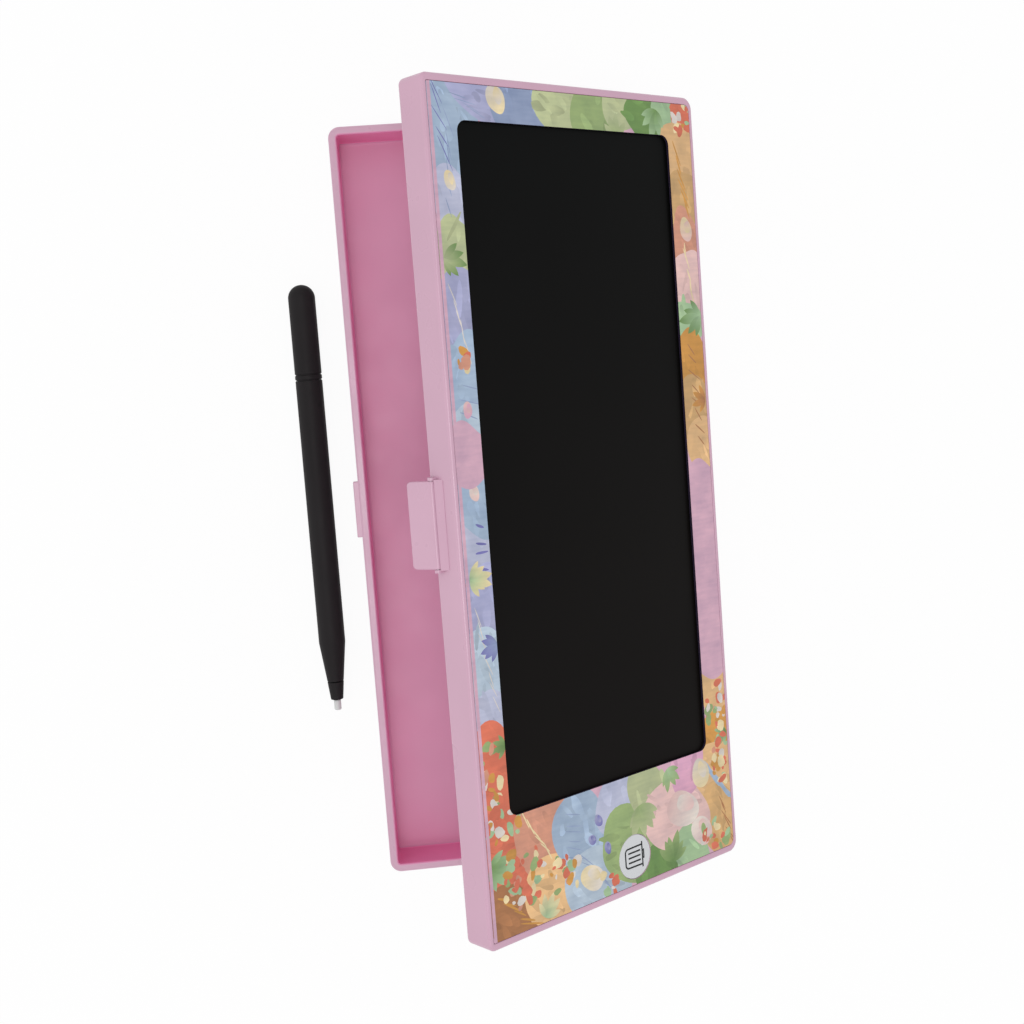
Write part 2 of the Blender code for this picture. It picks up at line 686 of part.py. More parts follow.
def join_ears(frame):
    """Two ears on the front face that hold the latch's pin."""
    centre = (0, LATCH_PIVOT.y, LATCH_PIVOT.z)
    for number, (start, end) in enumerate(((-EAR_OUTER, -EAR_INNER), (EAR_INNER, EAR_OUTER)), 1):
        tip = tool_of(f"latch_ear_tip_{number}", (add_rod, ("X", centre, EAR_RADIUS, start, end)))
        combine(frame, tip, "UNION")
        root = tool_of(f"latch_ear_root_{number}", (add_block, (
            (start, LATCH_PIVOT.y, LATCH_PIVOT.z - EAR_RADIUS),
            (end, FRONT + JOIN_DEPTH, LATCH_PIVOT.z + EAR_RADIUS))))
        combine(frame, root, "UNION")
    bore = tool_of("latch_ear_bore", (add_rod, (
        "X", centre, LATCH_PIN_HOLE, -EAR_OUTER - CUT_OVERRUN, EAR_OUTER + CUT_OVERRUN)))
    combine(frame, bore, "DIFFERENCE")


def make_panel():
    """The printed front panel, with its screen window and button hole, and the tape under it."""
    window = rounded(SCREEN_X, SCREEN_Y, SCREEN_RADIUS)
    hole = round_outline((BUTTON_X, BUTTON_Y), BUTTON_RADIUS + BUTTON_SIDE_GAP)
    edge = LID_WALL + SEAT_GAP
    panel = flat("printed_panel", [lid_outline(edge), window, hole], PANEL_BOTTOM, PANEL_TOP)
    place(panel, LID)
    finish(panel, PRINT_BLUE, 0.3)
    opening = film_outline(FILM_CLEARANCE)
    tape_hole = round_outline((BUTTON_X, BUTTON_Y), BUTTON_RADIUS + BUTTON_FLANGE_REACH + FLANGE_CLEARANCE)
    tape = flat("panel_tape", [lid_outline(edge + TAPE_INSET), opening, tape_hole], TAPE_BOTTOM, TAPE_TOP)
    place(tape, LID)
    finish(tape, TAPE_WHITE, 0.6)


def make_film():
    """The pressure-sensitive writing film, and the stiff board that backs it."""
    film = flat("writing_film", [film_outline(0)], FILM_BOTTOM, FILM_TOP)
    place(film, LID)
    finish(film, SCREEN_BLACK, 0.3)
    board = flat("backing_board", [film_outline(0)], BOARD_BOTTOM, BOARD_TOP)
    place(board, LID)
    finish(board, BOARD_GREY, 0.6)


def make_erase_button():
    """The erase button, with a flange that keeps it under the panel and a short stem."""
    flange_radius = BUTTON_RADIUS + BUTTON_FLANGE_REACH
    button = turned("erase_button", [
        (0, PANEL_TOP),
        (BUTTON_RADIUS - BUTTON_EDGE, PANEL_TOP),
        (BUTTON_RADIUS, PANEL_TOP - BUTTON_EDGE),
        (BUTTON_RADIUS, FLANGE_TOP),
        (flange_radius, FLANGE_TOP),
        (flange_radius, FLANGE_BOTTOM),
        (BUTTON_STEM_RADIUS, FLANGE_BOTTOM),
        (BUTTON_STEM_RADIUS, STEM_BOTTOM),
        (0, STEM_BOTTOM),
    ], FINE_ROUND_STEPS)
    place(button, BUTTON, (BUTTON_X, BUTTON_Y, 0))
    finish(button, BUTTON_WHITE, 0.35)


def make_switch():
    """The push switch: a bored body on the circuit board, and the plunger under the button."""
    half = SWITCH_SIDE / 2
    body = block("switch_body", (BUTTON_X - half, BUTTON_Y - half, SWITCH_BOTTOM),
                 (BUTTON_X + half, BUTTON_Y + half, SWITCH_TOP))
    place(body, LID)
    bore = tool_of("switch_bore", (add_rod, (
        "Z", (BUTTON_X, BUTTON_Y, 0), PLUNGER_RADIUS + PLUNGER_CLEARANCE,
        PLUNGER_BOTTOM - PLUNGER_RUN, SWITCH_TOP + CUT_OVERRUN)))
    combine(body, bore, "DIFFERENCE")
    finish(body, CHIP_BLACK, 0.5)
    plunger = rod("switch_plunger", "Z", (BUTTON_X, BUTTON_Y, 0), PLUNGER_RADIUS,
                  PLUNGER_BOTTOM, PLUNGER_TOP)
    place(plunger, BUTTON)
    finish(plunger, CHIP_BLACK, 0.4)


def make_inner_cover():
    """The cover under the lid, with ribs, the battery bay and the circuit board's posts."""
    cover = flat("inner_cover", [lid_outline(LID_WALL + SEAT_GAP)], COVER_DROP, COVER_TOP)
    place(cover, LID)
    join_ribs(cover)
    join_battery_bay(cover)
    posts = tool_of("pcb_posts", *[
        (add_rod, ("Z", (x, y, 0), PCB_POST_RADIUS, COVER_TOP - JOIN_DEPTH, PCB_BOTTOM - SEAT_GAP))
        for x, y in PCB_SCREWS])
    combine(cover, posts, "UNION")
    cut_cover_screw_holes(cover)
    finish(cover, PINK, 0.45)


def join_ribs(cover):
    """One long rib and several cross ribs, up to the backing board."""
    start, end = FILM_X[0] + RIB_INSET, FILM_X[1] - RIB_INSET
    low, high = COVER_TOP - JOIN_DEPTH, RIB_TOP
    middle = (FILM_Y[0] + FILM_Y[1]) / 2
    half = RIB_THICKNESS / 2
    spine = tool_of("long_rib", (add_block, ((start, middle - half, low), (end, middle + half, high))))
    combine(cover, spine, "UNION")
    for number in range(CROSS_RIBS):
        x = start + half + (end - start - RIB_THICKNESS) * number / (CROSS_RIBS - 1)
        rib = tool_of(f"cross_rib_{number + 1}", (add_block, (
            (x - half, FILM_Y[0] + RIB_INSET, low), (x + half, FILM_Y[1] - RIB_INSET, high))))
        combine(cover, rib, "UNION")


def join_battery_bay(cover):
    """A raised bay for the coin cell, its pocket, a notch for the clip and the door's recess."""
    bay_x = (DOOR_X[0] - BAY_WALL, DOOR_X[1] + BAY_WALL)
    bay_y = (DOOR_Y[0] - BAY_WALL, DOOR_Y[1] + BAY_WALL)
    bay = flat("battery_bay", [rounded(bay_x, bay_y, DOOR_RADIUS)], COVER_TOP - JOIN_DEPTH, BAY_TOP,
               home=TOOLS)
    combine(cover, bay, "UNION")
    door_x = (DOOR_X[0] - SEAT_GAP, DOOR_X[1] + SEAT_GAP)
    door_y = (DOOR_Y[0] - SEAT_GAP, DOOR_Y[1] + SEAT_GAP)
    recess = flat("door_recess", [rounded(door_x, door_y, DOOR_RADIUS)], COVER_DROP - CUT_OVERRUN,
                  DOOR_SEAT, home=TOOLS)
    combine(cover, recess, "DIFFERENCE")
    pocket = tool_of("cell_pocket", (add_rod, (
        "Z", (CELL_X, CELL_Y, 0), CELL_RADIUS + CELL_SIDE_GAP, DOOR_SEAT - CUT_OVERRUN,
        BAY_TOP + CUT_OVERRUN, FINE_ROUND_STEPS)))
    combine(cover, pocket, "DIFFERENCE")
    half = CONTACT_WIDTH / 2 + CLIP_SIDE_GAP
    notch = tool_of("clip_notch", (add_block, (
        (CELL_X - half, CELL_Y, DOOR_SEAT - CUT_OVERRUN),
        (CELL_X + half, clip_back() + CLIP_BACK_GAP, BAY_TOP + CUT_OVERRUN))))
    combine(cover, notch, "DIFFERENCE")
    hole = tool_of("door_screw_hole", (add_rod, (
        "Z", (CELL_X, DOOR_SCREW_Y, 0), SCREW_HOLE_RADIUS, DOOR_SEAT - CUT_OVERRUN,
        BAY_TOP + CUT_OVERRUN)))
    combine(cover, hole, "DIFFERENCE")


def cut_cover_screw_holes(cover):
    """Counterbored holes for the cover's screws, and blind holes in the circuit board's posts."""
    through = (COVER_DROP - CUT_OVERRUN, COVER_TOP + CUT_OVERRUN)
    holes = tool_of("cover_screw_holes", *[
        (add_rod, ("Z", (x, y, 0), SCREW_HOLE_RADIUS, *through)) for x, y in BOSS_PLACES])
    combine(cover, holes, "DIFFERENCE")
    depth = COVER_DROP + SCREW_HEAD_HEIGHT + SEAT_GAP
    heads = tool_of("cover_screw_heads", *[
        (add_rod, ("Z", (x, y, 0), SCREW_HEAD_HOLE_RADIUS, COVER_DROP - CUT_OVERRUN, depth))
        for x, y in BOSS_PLACES])
    combine(cover, heads, "DIFFERENCE")
    blind = tool_of("pcb_post_holes", *[
        (add_rod, ("Z", (x, y, 0), SCREW_HOLE_RADIUS, COVER_TOP, PCB_BOTTOM + CUT_OVERRUN))
        for x, y in PCB_SCREWS])
    combine(cover, blind, "DIFFERENCE")


def screw_piece(name, frame, centre, head_z, tip_z):
    """A screw along Z. Its head's outer face is at head_z and its tip is at tip_z."""
    inwards = 1 if tip_z > head_z else -1
    under_head = head_z + inwards * SCREW_HEAD_HEIGHT
    point_start = tip_z - inwards * SCREW_SHANK_RADIUS
    profile = [
        (0, head_z),
        (SCREW_HEAD_RADIUS, head_z),
        (SCREW_HEAD_RADIUS, under_head),
        (SCREW_SHANK_RADIUS, under_head),
        (SCREW_SHANK_RADIUS, point_start),
        (SCREW_SHANK_RADIUS * SCREW_TIP_SHARE, tip_z),
        (0, tip_z),
    ]
    if inwards > 0:
        profile.reverse()
    made = turned(name, profile)
    place(made, frame, (*centre, 0))
    finish(made, STEEL, 0.35, 1.0)


def make_screws():
    """The screws of the cover, of the circuit board and of the battery door."""
    for number, centre in enumerate(BOSS_PLACES, 1):
        screw_piece(f"cover_screw_{number}", LID, centre, COVER_DROP, LEDGE_BOTTOM - SCREW_TIP_GAP)
    for number, centre in enumerate(PCB_SCREWS, 1):
        screw_piece(f"board_screw_{number}", LID, centre,
                    PCB_TOP + SEAT_GAP + SCREW_HEAD_HEIGHT, COVER_TOP + SCREW_TIP_GAP)
    screw_piece("battery_door_screw", DOOR, (CELL_X, DOOR_SCREW_Y), COVER_DROP, BAY_TOP - SCREW_TIP_GAP)


def make_circuit_board():
    """The circuit board, drilled for its screws, with the driver chip beside the switch."""
    holes = [round_outline(centre, SCREW_HOLE_RADIUS) for centre in PCB_SCREWS]
    board = flat("circuit_board", [rounded(PCB_X, PCB_Y, PCB_RADIUS)] + holes, PCB_BOTTOM, PCB_TOP)
    place(board, LID)
    finish(board, PCB_GREEN, 0.45)
    y = BUTTON_Y - CHIP_FROM_BUTTON
    low = PCB_TOP + SOLDER_GAP
    chip = block("driver_chip", (BUTTON_X - CHIP_LENGTH / 2, y - CHIP_WIDTH / 2, low),
                 (BUTTON_X + CHIP_LENGTH / 2, y + CHIP_WIDTH / 2, low + CHIP_HEIGHT))
    place(chip, LID)
    finish(chip, CHIP_BLACK, 0.4)


def tail_y():
    """The middle of the film's tail across the case."""
    return PCB_Y[1] - PCB_SCREW_INSET - PCB_POST_RADIUS - TAIL_WIDTH


def make_film_tail():
    """The flexible tail: along under the panel, down, and flat on the circuit board."""
    start = FILM_X[1] + SEAT_GAP
    top = FILM_BOTTOM + FILM_THICKNESS / 2 + TAIL_THICKNESS / 2
    foot = PCB_TOP + SOLDER_GAP + TAIL_THICKNESS
    bend = start + TAIL_REACH
    landing = bend + TAIL_DROP_RUN
    end = max(landing, PCB_X[0]) + TAIL_LANDING
    upper = [(start, top), (bend, top), (landing, foot), (end, foot)]
    lower = [(end, foot - TAIL_THICKNESS), (landing - TAIL_THICKNESS, foot - TAIL_THICKNESS),
             (bend - TAIL_THICKNESS, top - TAIL_THICKNESS), (start, top - TAIL_THICKNESS)]
    tail = flat("film_tail", [upper + lower], tail_y() - TAIL_WIDTH / 2, tail_y() + TAIL_WIDTH / 2, "XZ")
    place(tail, LID)
    finish(tail, COPPER_FILM, 0.4)


def clip_front():
    """The face of the side contact that meets the cell's rim."""
    return CELL_Y + CELL_RADIUS + CLIP_CELL_GAP


def clip_back():
    """The end of the side contact's foot."""
    return clip_front() + CLIP_FOOT


def make_battery():
    """The coin cell, and the two contacts that hang from the circuit board."""
    cell = turned("coin_cell", [
        (0, CELL_TOP),
        (CELL_RADIUS - CELL_EDGE, CELL_TOP),
        (CELL_RADIUS, CELL_TOP - CELL_EDGE),
        (CELL_RADIUS, CELL_BOTTOM),
        (0, CELL_BOTTOM),
    ], FINE_ROUND_STEPS)
    place(cell, CELL, (CELL_X, CELL_Y, 0))
    finish(cell, STEEL, 0.3, 1.0)
    root = PCB_BOTTOM - SOLDER_GAP
    tip = CELL_TOP + SOLDER_GAP + CONTACT_THICKNESS
    start = CELL_X - CONTACT_TIP_OVERHANG
    x1, x2 = start + CONTACT_FOOT, start + CONTACT_FOOT + CONTACT_SLOPE
    end = x2 + CONTACT_TIP
    leaf = [(start, root), (x1, root), (x2, tip), (end, tip)]
    leaf += [(x, z - CONTACT_THICKNESS) for x, z in reversed(leaf)]
    half = CONTACT_WIDTH / 2
    minus = flat("cell_contact_minus", [leaf], CELL_Y - half, CELL_Y + half, "XZ")
    place(minus, LID)
    finish(minus, STEEL, 0.3, 1.0)
    front, inner, back = clip_front(), clip_front() + CONTACT_THICKNESS, clip_back()
    under = root - CONTACT_THICKNESS
    clip = [(front, CELL_BOTTOM), (inner, CELL_BOTTOM), (inner, under),
            (back, under), (back, root), (front, root)]
    plus = flat("cell_contact_plus", [clip], CELL_X - half, CELL_X + half, "YZ")
    place(plus, LID)
    finish(plus, STEEL, 0.3, 1.0)


def make_battery_door():
    """The battery door, with a counterbored hole for its screw."""
    outline = rounded(DOOR_X, DOOR_Y, DOOR_RADIUS - SEAT_GAP)
    door = flat("battery_door", [outline], COVER_DROP, DOOR_TOP + SEAT_GAP / 2)
    place(door, DOOR)
    hole = tool_of("door_hole", (add_rod, (
        "Z", (CELL_X, DOOR_SCREW_Y, 0), SCREW_HEAD_HOLE_RADIUS, COVER_DROP - CUT_OVERRUN,
        DOOR_SEAT + CUT_OVERRUN)))
    combine(door, hole, "DIFFERENCE")
    finish(door, PINK, 0.45)


def make_latch():
    """The latch plate, which hooks under the tray's lug, and its pin."""
    half = LATCH_LENGTH / 2
    latch = block("latch", (-half, LATCH_OUTER, LATCH_TIP), (half, LATCH_INNER, LATCH_PIVOT.z))
    place(latch, LATCH)
    bevel(latch, LATCH_ROUNDING)
    centre = (0, LATCH_PIVOT.y, LATCH_PIVOT.z)
    knuckle = tool_of("latch_knuckle", (add_rod, ("X", centre, LATCH_THICKNESS / 2, -half, half)))
    combine(latch, knuckle, "UNION")
    pocket_half = LUG_LENGTH / 2 + POCKET_SIDE_GAP
    pocket = tool_of("lug_pocket", (add_block, (
        (-pocket_half, LATCH_OUTER + LATCH_SKIN, LUG_BOTTOM - SEAT_GAP - LID_UNDERSIDE),
        (pocket_half, LATCH_INNER + CUT_OVERRUN, LUG_TOP + POCKET_TOP_GAP - LID_UNDERSIDE))))
    combine(latch, pocket, "DIFFERENCE")
    bore = tool_of("latch_bore", (add_rod, (
        "X", centre, LATCH_PIN_HOLE, -half - CUT_OVERRUN, half + CUT_OVERRUN)))
    combine(latch, bore, "DIFFERENCE")
    finish(latch, PINK, 0.38)
    end = EAR_OUTER - LATCH_SIDE_GAP
    pin = rod("latch_pin", "X", centre, LATCH_PIN_RADIUS, -end, end)
    place(pin, LID)
    finish(pin, STEEL, 0.3, 1.0)


def stylus_piece(name, profile, colour, roughness):
    """A turned piece of the stylus. Its profile gives radius and distance from the tail."""
    made = turned(name, list(reversed(profile)), FINE_ROUND_STEPS)
    place(made, STYLUS, STYLUS.origin)
    made.rotation_euler.y = math.pi / 2
    finish(made, colour, roughness)


def make_stylus():
    """The stylus, as five turned pieces from the domed tail to the nib."""
    spigot = STYLUS_BORE_RADIUS - STYLUS_JOINT_GAP
    ring_start = STYLUS_CAP_LENGTH + STYLUS_JOINT_GAP
    ring_end = ring_start + STYLUS_RING_LENGTH
    barrel_start = ring_end + STYLUS_JOINT_GAP
    taper_start = barrel_start + STYLUS_STRAIGHT_LENGTH
    seam = taper_start + STYLUS_TAPER_LENGTH
    nose_start = seam + STYLUS_JOINT_GAP
    nose_end = nose_start + STYLUS_NOSE_LENGTH
    nib_start = nose_end + STYLUS_JOINT_GAP
    nib_end = nib_start + STYLUS_NIB_LENGTH
    cap_end = barrel_start + STYLUS_SPIGOT_LENGTH
    dome = arc((STYLUS_RADIUS, 0), STYLUS_RADIUS, 2, -1, DOME_STEPS)
    cap = [(radius, along) for along, radius in dome]
    cap[0] = (0, 0)
    cap += [(STYLUS_RADIUS, STYLUS_CAP_LENGTH), (spigot, STYLUS_CAP_LENGTH), (spigot, cap_end), (0, cap_end)]
    stylus_piece("stylus_tail_cap", cap, STYLUS_BLACK, 0.32)
    stylus_piece("stylus_ring", [
        (STYLUS_RADIUS, ring_start), (STYLUS_RADIUS, ring_end),
        (STYLUS_BORE_RADIUS, ring_end), (STYLUS_BORE_RADIUS, ring_start)], STYLUS_BLACK, 0.25)
    bore_end = taper_start - STYLUS_RADIUS
    stylus_piece("stylus_barrel", [
        (STYLUS_RADIUS, barrel_start), (STYLUS_RADIUS, taper_start), (STYLUS_SEAM_RADIUS, seam),
        (STYLUS_FRONT_BORE_RADIUS, seam), (STYLUS_FRONT_BORE_RADIUS, bore_end),
        (STYLUS_BORE_RADIUS, bore_end), (STYLUS_BORE_RADIUS, barrel_start)], STYLUS_BLACK, 0.32)
    socket_start = nose_end - STYLUS_NIB_SHANK_LENGTH
    socket = STYLUS_NIB_SHANK_RADIUS + STYLUS_JOINT_GAP
    nose_spigot = STYLUS_FRONT_BORE_RADIUS - STYLUS_JOINT_GAP
    stylus_piece("stylus_nose", [
        (0, seam - STYLUS_SPIGOT_LENGTH), (nose_spigot, seam - STYLUS_SPIGOT_LENGTH),
        (nose_spigot, nose_start), (STYLUS_SEAM_RADIUS, nose_start), (STYLUS_NOSE_RADIUS, nose_end),
        (socket, nose_end), (socket, socket_start - STYLUS_JOINT_GAP), (0, socket_start - STYLUS_JOINT_GAP)],
        STYLUS_BLACK, 0.32)
    stylus_piece("stylus_nib", [
        (0, socket_start), (STYLUS_NIB_SHANK_RADIUS, socket_start), (STYLUS_NIB_SHANK_RADIUS, nib_start),
        (STYLUS_NIB_RADIUS, nib_start), (STYLUS_NIB_RADIUS, nib_end - NIB_ROUNDING),
        (STYLUS_NIB_RADIUS - NIB_ROUNDING, nib_end), (0, nib_end)], WARM_GREY, 0.4)


for leftover in list(bpy.data.objects):
    bpy.data.objects.remove(leftover)

PARTS = collection("lcd_writing_tablet_case")
TOOLS = collection("cutters")
TRAY = Frame(None, Vector((0, 0, 0)))
HINGE = pivot("lid_hinge_axis", TRAY, (0, HINGE_Y, HINGE_Z), -LID_OPENING)
LID = Frame(HINGE.empty, HINGE_IN_LID)
LATCH = pivot("latch_axis", LID, LATCH_PIVOT, -LATCH_SWING)
BUTTON = pivot("erase_button_axis", LID, (BUTTON_X, BUTTON_Y, PANEL_TOP))
DOOR = pivot("battery_door_axis", LID, (CELL_X, DOOR_SCREW_Y, COVER_DROP))
CELL = pivot("coin_cell_axis", LID, (CELL_X, CELL_Y, CELL_BOTTOM))
STYLUS_Y = FRONT - STYLUS_FRONT_GAP - STYLUS_RADIUS
STYLUS = pivot("stylus_lift_axis", TRAY, (TAIL_END + STYLUS_END_MARGIN, STYLUS_Y, STYLUS_RADIUS))

make_tray()
make_hinge_pins()
make_lid_frame()
make_panel()
make_film()
make_erase_button()
make_switch()
make_inner_cover()
make_screws()
make_circuit_board()
make_film_tail()
make_battery()
make_battery_door()
make_latch()
make_stylus()
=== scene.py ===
"""The looks of a pencil case whose lid holds an LCD writing tablet: surfaces, print, light and camera.

Sizes are in millimetres and meshes are scaled to metres at the end. Pieces of the lid are made in
lid coordinates, those of the closed lid with z from its underside, and LID takes them to rest.
"""
import json
import random
from math import cos, pi, radians, sin, sqrt, tan, tau
from random import uniform

import bmesh
import bpy
from mathutils import Matrix, Vector
from mathutils.geometry import delaunay_2d_cdt


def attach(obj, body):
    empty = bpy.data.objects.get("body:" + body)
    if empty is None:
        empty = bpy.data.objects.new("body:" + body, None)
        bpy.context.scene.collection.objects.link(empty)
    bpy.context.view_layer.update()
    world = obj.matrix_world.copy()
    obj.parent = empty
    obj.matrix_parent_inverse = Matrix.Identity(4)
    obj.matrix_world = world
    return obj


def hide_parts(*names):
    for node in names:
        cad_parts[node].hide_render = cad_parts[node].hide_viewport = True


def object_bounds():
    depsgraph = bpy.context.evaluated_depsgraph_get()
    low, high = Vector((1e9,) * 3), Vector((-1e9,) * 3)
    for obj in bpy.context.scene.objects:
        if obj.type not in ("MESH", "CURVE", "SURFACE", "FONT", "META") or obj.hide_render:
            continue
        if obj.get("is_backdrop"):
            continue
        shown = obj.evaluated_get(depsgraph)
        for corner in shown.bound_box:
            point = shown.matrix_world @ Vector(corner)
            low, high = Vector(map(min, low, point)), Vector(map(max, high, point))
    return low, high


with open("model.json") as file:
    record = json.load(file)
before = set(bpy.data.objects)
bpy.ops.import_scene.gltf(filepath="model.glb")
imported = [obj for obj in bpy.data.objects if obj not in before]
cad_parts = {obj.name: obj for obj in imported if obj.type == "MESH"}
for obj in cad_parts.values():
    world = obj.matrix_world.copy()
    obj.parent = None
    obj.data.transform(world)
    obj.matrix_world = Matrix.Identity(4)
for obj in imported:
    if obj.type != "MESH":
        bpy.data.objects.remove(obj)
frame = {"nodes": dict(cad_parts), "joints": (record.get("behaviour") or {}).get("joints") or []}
CAD_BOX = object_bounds()
MM = 0.001

# Joints and placements, read from the frame
JOINTS = {joint["name"]: joint for joint in frame["joints"]}
LID_GAP = 0.3


def swung(parent, point, angle):
    """A placement turned about X through a point of the parent, in millimetres."""
    move = Matrix.Translation(Vector(point) * MM)
    return parent @ move @ Matrix.Rotation(angle, 4, "X") @ move.inverted()


HINGE = Vector(JOINTS["lid_hinge"]["pos_m"]) / MM
LID_BASE = HINGE.z + LID_GAP / 2
OPENING = radians(JOINTS["lid_hinge"]["range_deg"][0])
TRAY = Matrix.Identity(4)
LID = swung(TRAY, HINGE, OPENING) @ Matrix.Translation((0, 0, LID_BASE * MM))
PIVOT = LID.inverted() @ Vector(JOINTS["latch_hinge"]["pos_m"]) / MM
LATCH = swung(LID, PIVOT, radians(JOINTS["latch_hinge"]["range_deg"][0]))


def span(node, place=TRAY):
    """The lowest and highest corner of a CAD node, in the millimetres of a placement."""
    back = place.inverted()
    points = [back @ vertex.co / MM for vertex in frame["nodes"][node].data.vertices]
    return [Vector([pick(point[axis] for point in points) for axis in range(3)]) for pick in (min, max)]


# Case, as the frame has it
PANEL_LOW, PANEL_HIGH = span("printed_panel", LID)
FILM_LOW, FILM_HIGH = span("writing_film", LID)
LID_HIGH = span("lid_frame", LID)[1]
TRAY_HIGH = span("tray_shell")[1]
HALF_LENGTH = LID_HIGH.x
PANEL_INSET = HALF_LENGTH - PANEL_HIGH.x
HALF_WIDTH = PANEL_HIGH.y + PANEL_INSET
FRONT = -HALF_WIDTH
TRAY_STEP = HALF_LENGTH - TRAY_HIGH.x
RIM = LID_BASE - LID_GAP
LID_TOP = LID_HIGH.z

# Shells
CORNER_RADIUS = 3.5
FRONT_RADIUS = 2.0
LEAST_RADIUS = 0.35
TRAY_WALL = 2.5
TRAY_FLOOR = 2.0
TRAY_EDGE = 0.6
TRAY_RIM_EDGE = 0.5
FLOOR_FILLET = 1.0
LID_WALL = 1.4
LID_EDGE = 0.9
LID_INNER_EDGE = 0.3
LID_LOW_EDGE = 1.2
LID_LOW_INNER_EDGE = 0.15
FINE_EDGE = 0.1
END_RIM = 0.7
TAPE_GAP = 0.1
LEDGE_THICKNESS = 1.2
LEDGE_TOP = span("panel_tape", LID)[0].z - TAPE_GAP
LEDGE_LOW = LEDGE_TOP - LEDGE_THICKNESS
FILM_CLEARANCE = 0.5
CAP_INSET = 9.0
GAP = 0.3
OVERRUN = 1.0
JOIN = 0.8
SIDE_GAP = 0.08

# Facets and limits
CORNER_STEPS = 12
FILLET_STEPS = 5
SMALL_STEPS = 3
ROUND_STEPS = 64
DISC_STEPS = 96
ON_AXIS = 1e-6
SHARP_ANGLE = radians(32)
STEEP = 0.5
ROUND_PROFILE = 0.5

random.seed(11)

# Colours, out of 255
FULL = 255
CASE_PINK = (206, 165, 186)
# The tray's inside, as copies of the case pink with painted bounced light: more saturated on the floor,
# lighter and more saturated on the walls
INSIDE_PAINTED_BOUNCE_PINK = (220, 154, 186)
WALL_PAINTED_BOUNCE_PINK = (250, 148, 196)
PRINT_PINK = (211, 170, 190)
# The writing film's black, and the lighter, warmer black of painted light at its button end
FILM_BLACK = (7, 8, 8)
FILM_PAINTED_LIGHT_BLACK = (18, 15, 14)
SOLDER_MASK = (20, 92, 58)
TRACK_GREEN = (44, 128, 82)

# Shares of a colour that a noise gives at its lowest and highest
FILM_TONES = ((0.9, 0.9, 0.9, 1), (1.1, 1.1, 1.1, 1))
CLOUD_TONES = ((0.86, 0.87, 0.90, 1), (1.10, 1.08, 1.05, 1))
BRUSH_TONES = ((0.93, 0.94, 0.95, 1), (1.07, 1.06, 1.04, 1))
STEEL_TONES = (0.9, 1.08)


def linear(colour):
    """A colour out of 255, as linear light by the sRGB formula."""
    shares = [value / FULL for value in colour]
    return [share / 12.92 if share <= 0.04045 else ((share + 0.055) / 1.055) ** 2.4 for share in shares]


def rgba(colour, factor=1.0):
    """A colour out of 255 made darker or lighter, for a socket."""
    return (*[min(1.0, value * factor) for value in linear(colour)], 1.0)


# Materials
NOISE_LOW, NOISE_HIGH = 0.3, 0.7
MIX_FACTOR, MIX_ONE, MIX_OTHER, MIX_RESULT = 0, 6, 7, 2


class Nodes:
    """The nodes of a material or a world."""

    def __init__(self, tree):
        self.tree = tree

    def node(self, kind, inputs=None, **settings):
        """A new node with its settings and its inputs."""
        made = self.tree.nodes.new(kind)
        for name, value in settings.items():
            setattr(made, name, value)
        for socket, value in (inputs or {}).items():
            self.feed(made.inputs[socket], value)
        return made

    def feed(self, target, value):
        """Link an input to a socket, or give it a value of its own."""
        if isinstance(value, bpy.types.NodeSocket):
            self.tree.links.new(value, target)
        else:
            target.default_value = value

    def seen_rays(self):
        """1 for rays from the camera, and for those that metal and glass show."""
        path = self.node("ShaderNodeLightPath")
        result = path.outputs["Is Camera Ray"]
        for name in ("Is Glossy Ray", "Is Transmission Ray"):
            most = self.node("ShaderNodeMath", {0: result, 1: path.outputs[name]}, operation="MAXIMUM")
            result = most.outputs[0]
        return result


class Surface(Nodes):
    """A material's nodes, round one shader."""

    def __init__(self, name):
        self.material = bpy.data.materials.new(name)
        self.material.use_nodes = True
        super().__init__(self.material.node_tree)
        self.where = self.node("ShaderNodeTexCoord").outputs["Object"]

    def noise(self, size, detail=2.0, stretch=(1, 1, 1), tilt=0.0):
        """Noise with features of a size in millimetres, longer where stretch is more than 1."""
        scale = [size * MM * share for share in stretch]
        mapping = self.node("ShaderNodeMapping", {
            "Vector": self.where, "Scale": scale, "Rotation": (tilt, 0, 0)}, vector_type="TEXTURE")
        return self.node("ShaderNodeTexNoise", {
            "Vector": mapping.outputs["Vector"], "Scale": 1.0, "Detail": detail}).outputs["Fac"]

    def spread(self, value, low=0.0, high=1.0):
        """Noise, whose values are mostly in the middle, spread from low to high."""
        return self.node("ShaderNodeMapRange", {
            "Value": value, "From Min": NOISE_LOW, "From Max": NOISE_HIGH, "To Min": low,
            "To Max": high}).outputs["Result"]

    def mix(self, factor, one, other, blend="MIX"):
        """Two colours mixed by a factor. Each is a socket or a colour."""
        return self.node("ShaderNodeMix", {MIX_FACTOR: factor, MIX_ONE: one, MIX_OTHER: other},
                         data_type="RGBA", blend_type=blend).outputs[MIX_RESULT]

    def bump(self, height, depth):
        """A normal that a height bumps, with a depth in millimetres."""
        return self.node("ShaderNodeBump", {
            "Height": height, "Strength": 1.0, "Distance": depth * MM}).outputs["Normal"]

    def shade(self, **inputs):
        """The material, once its shader has its inputs. Their names have _ for a space."""
        for name, value in inputs.items():
            self.feed(self.tree.nodes["Principled BSDF"].inputs[name.replace("_", " ")], value)
        return self.material


def plastic(name, colour, roughness, specular=0.5, tint=0.03, grain=1.2, depth=0.004,
            smoother=0.04, rougher=0.05):
    """Moulded plastic: clouds of tint, an uneven polish and a fine moulded grain."""
    made = Surface(name)
    cloud = made.spread(made.noise(size=28, detail=2))
    polish = made.noise(size=9, detail=2)
    return made.shade(
        Base_Color=made.mix(cloud, rgba(colour, 1 - tint), rgba(colour, 1 + tint)),
        Roughness=made.spread(polish, roughness - smoother, roughness + rougher),
        Normal=made.bump(made.noise(grain, detail=3), depth),
        Specular_IOR_Level=specular)


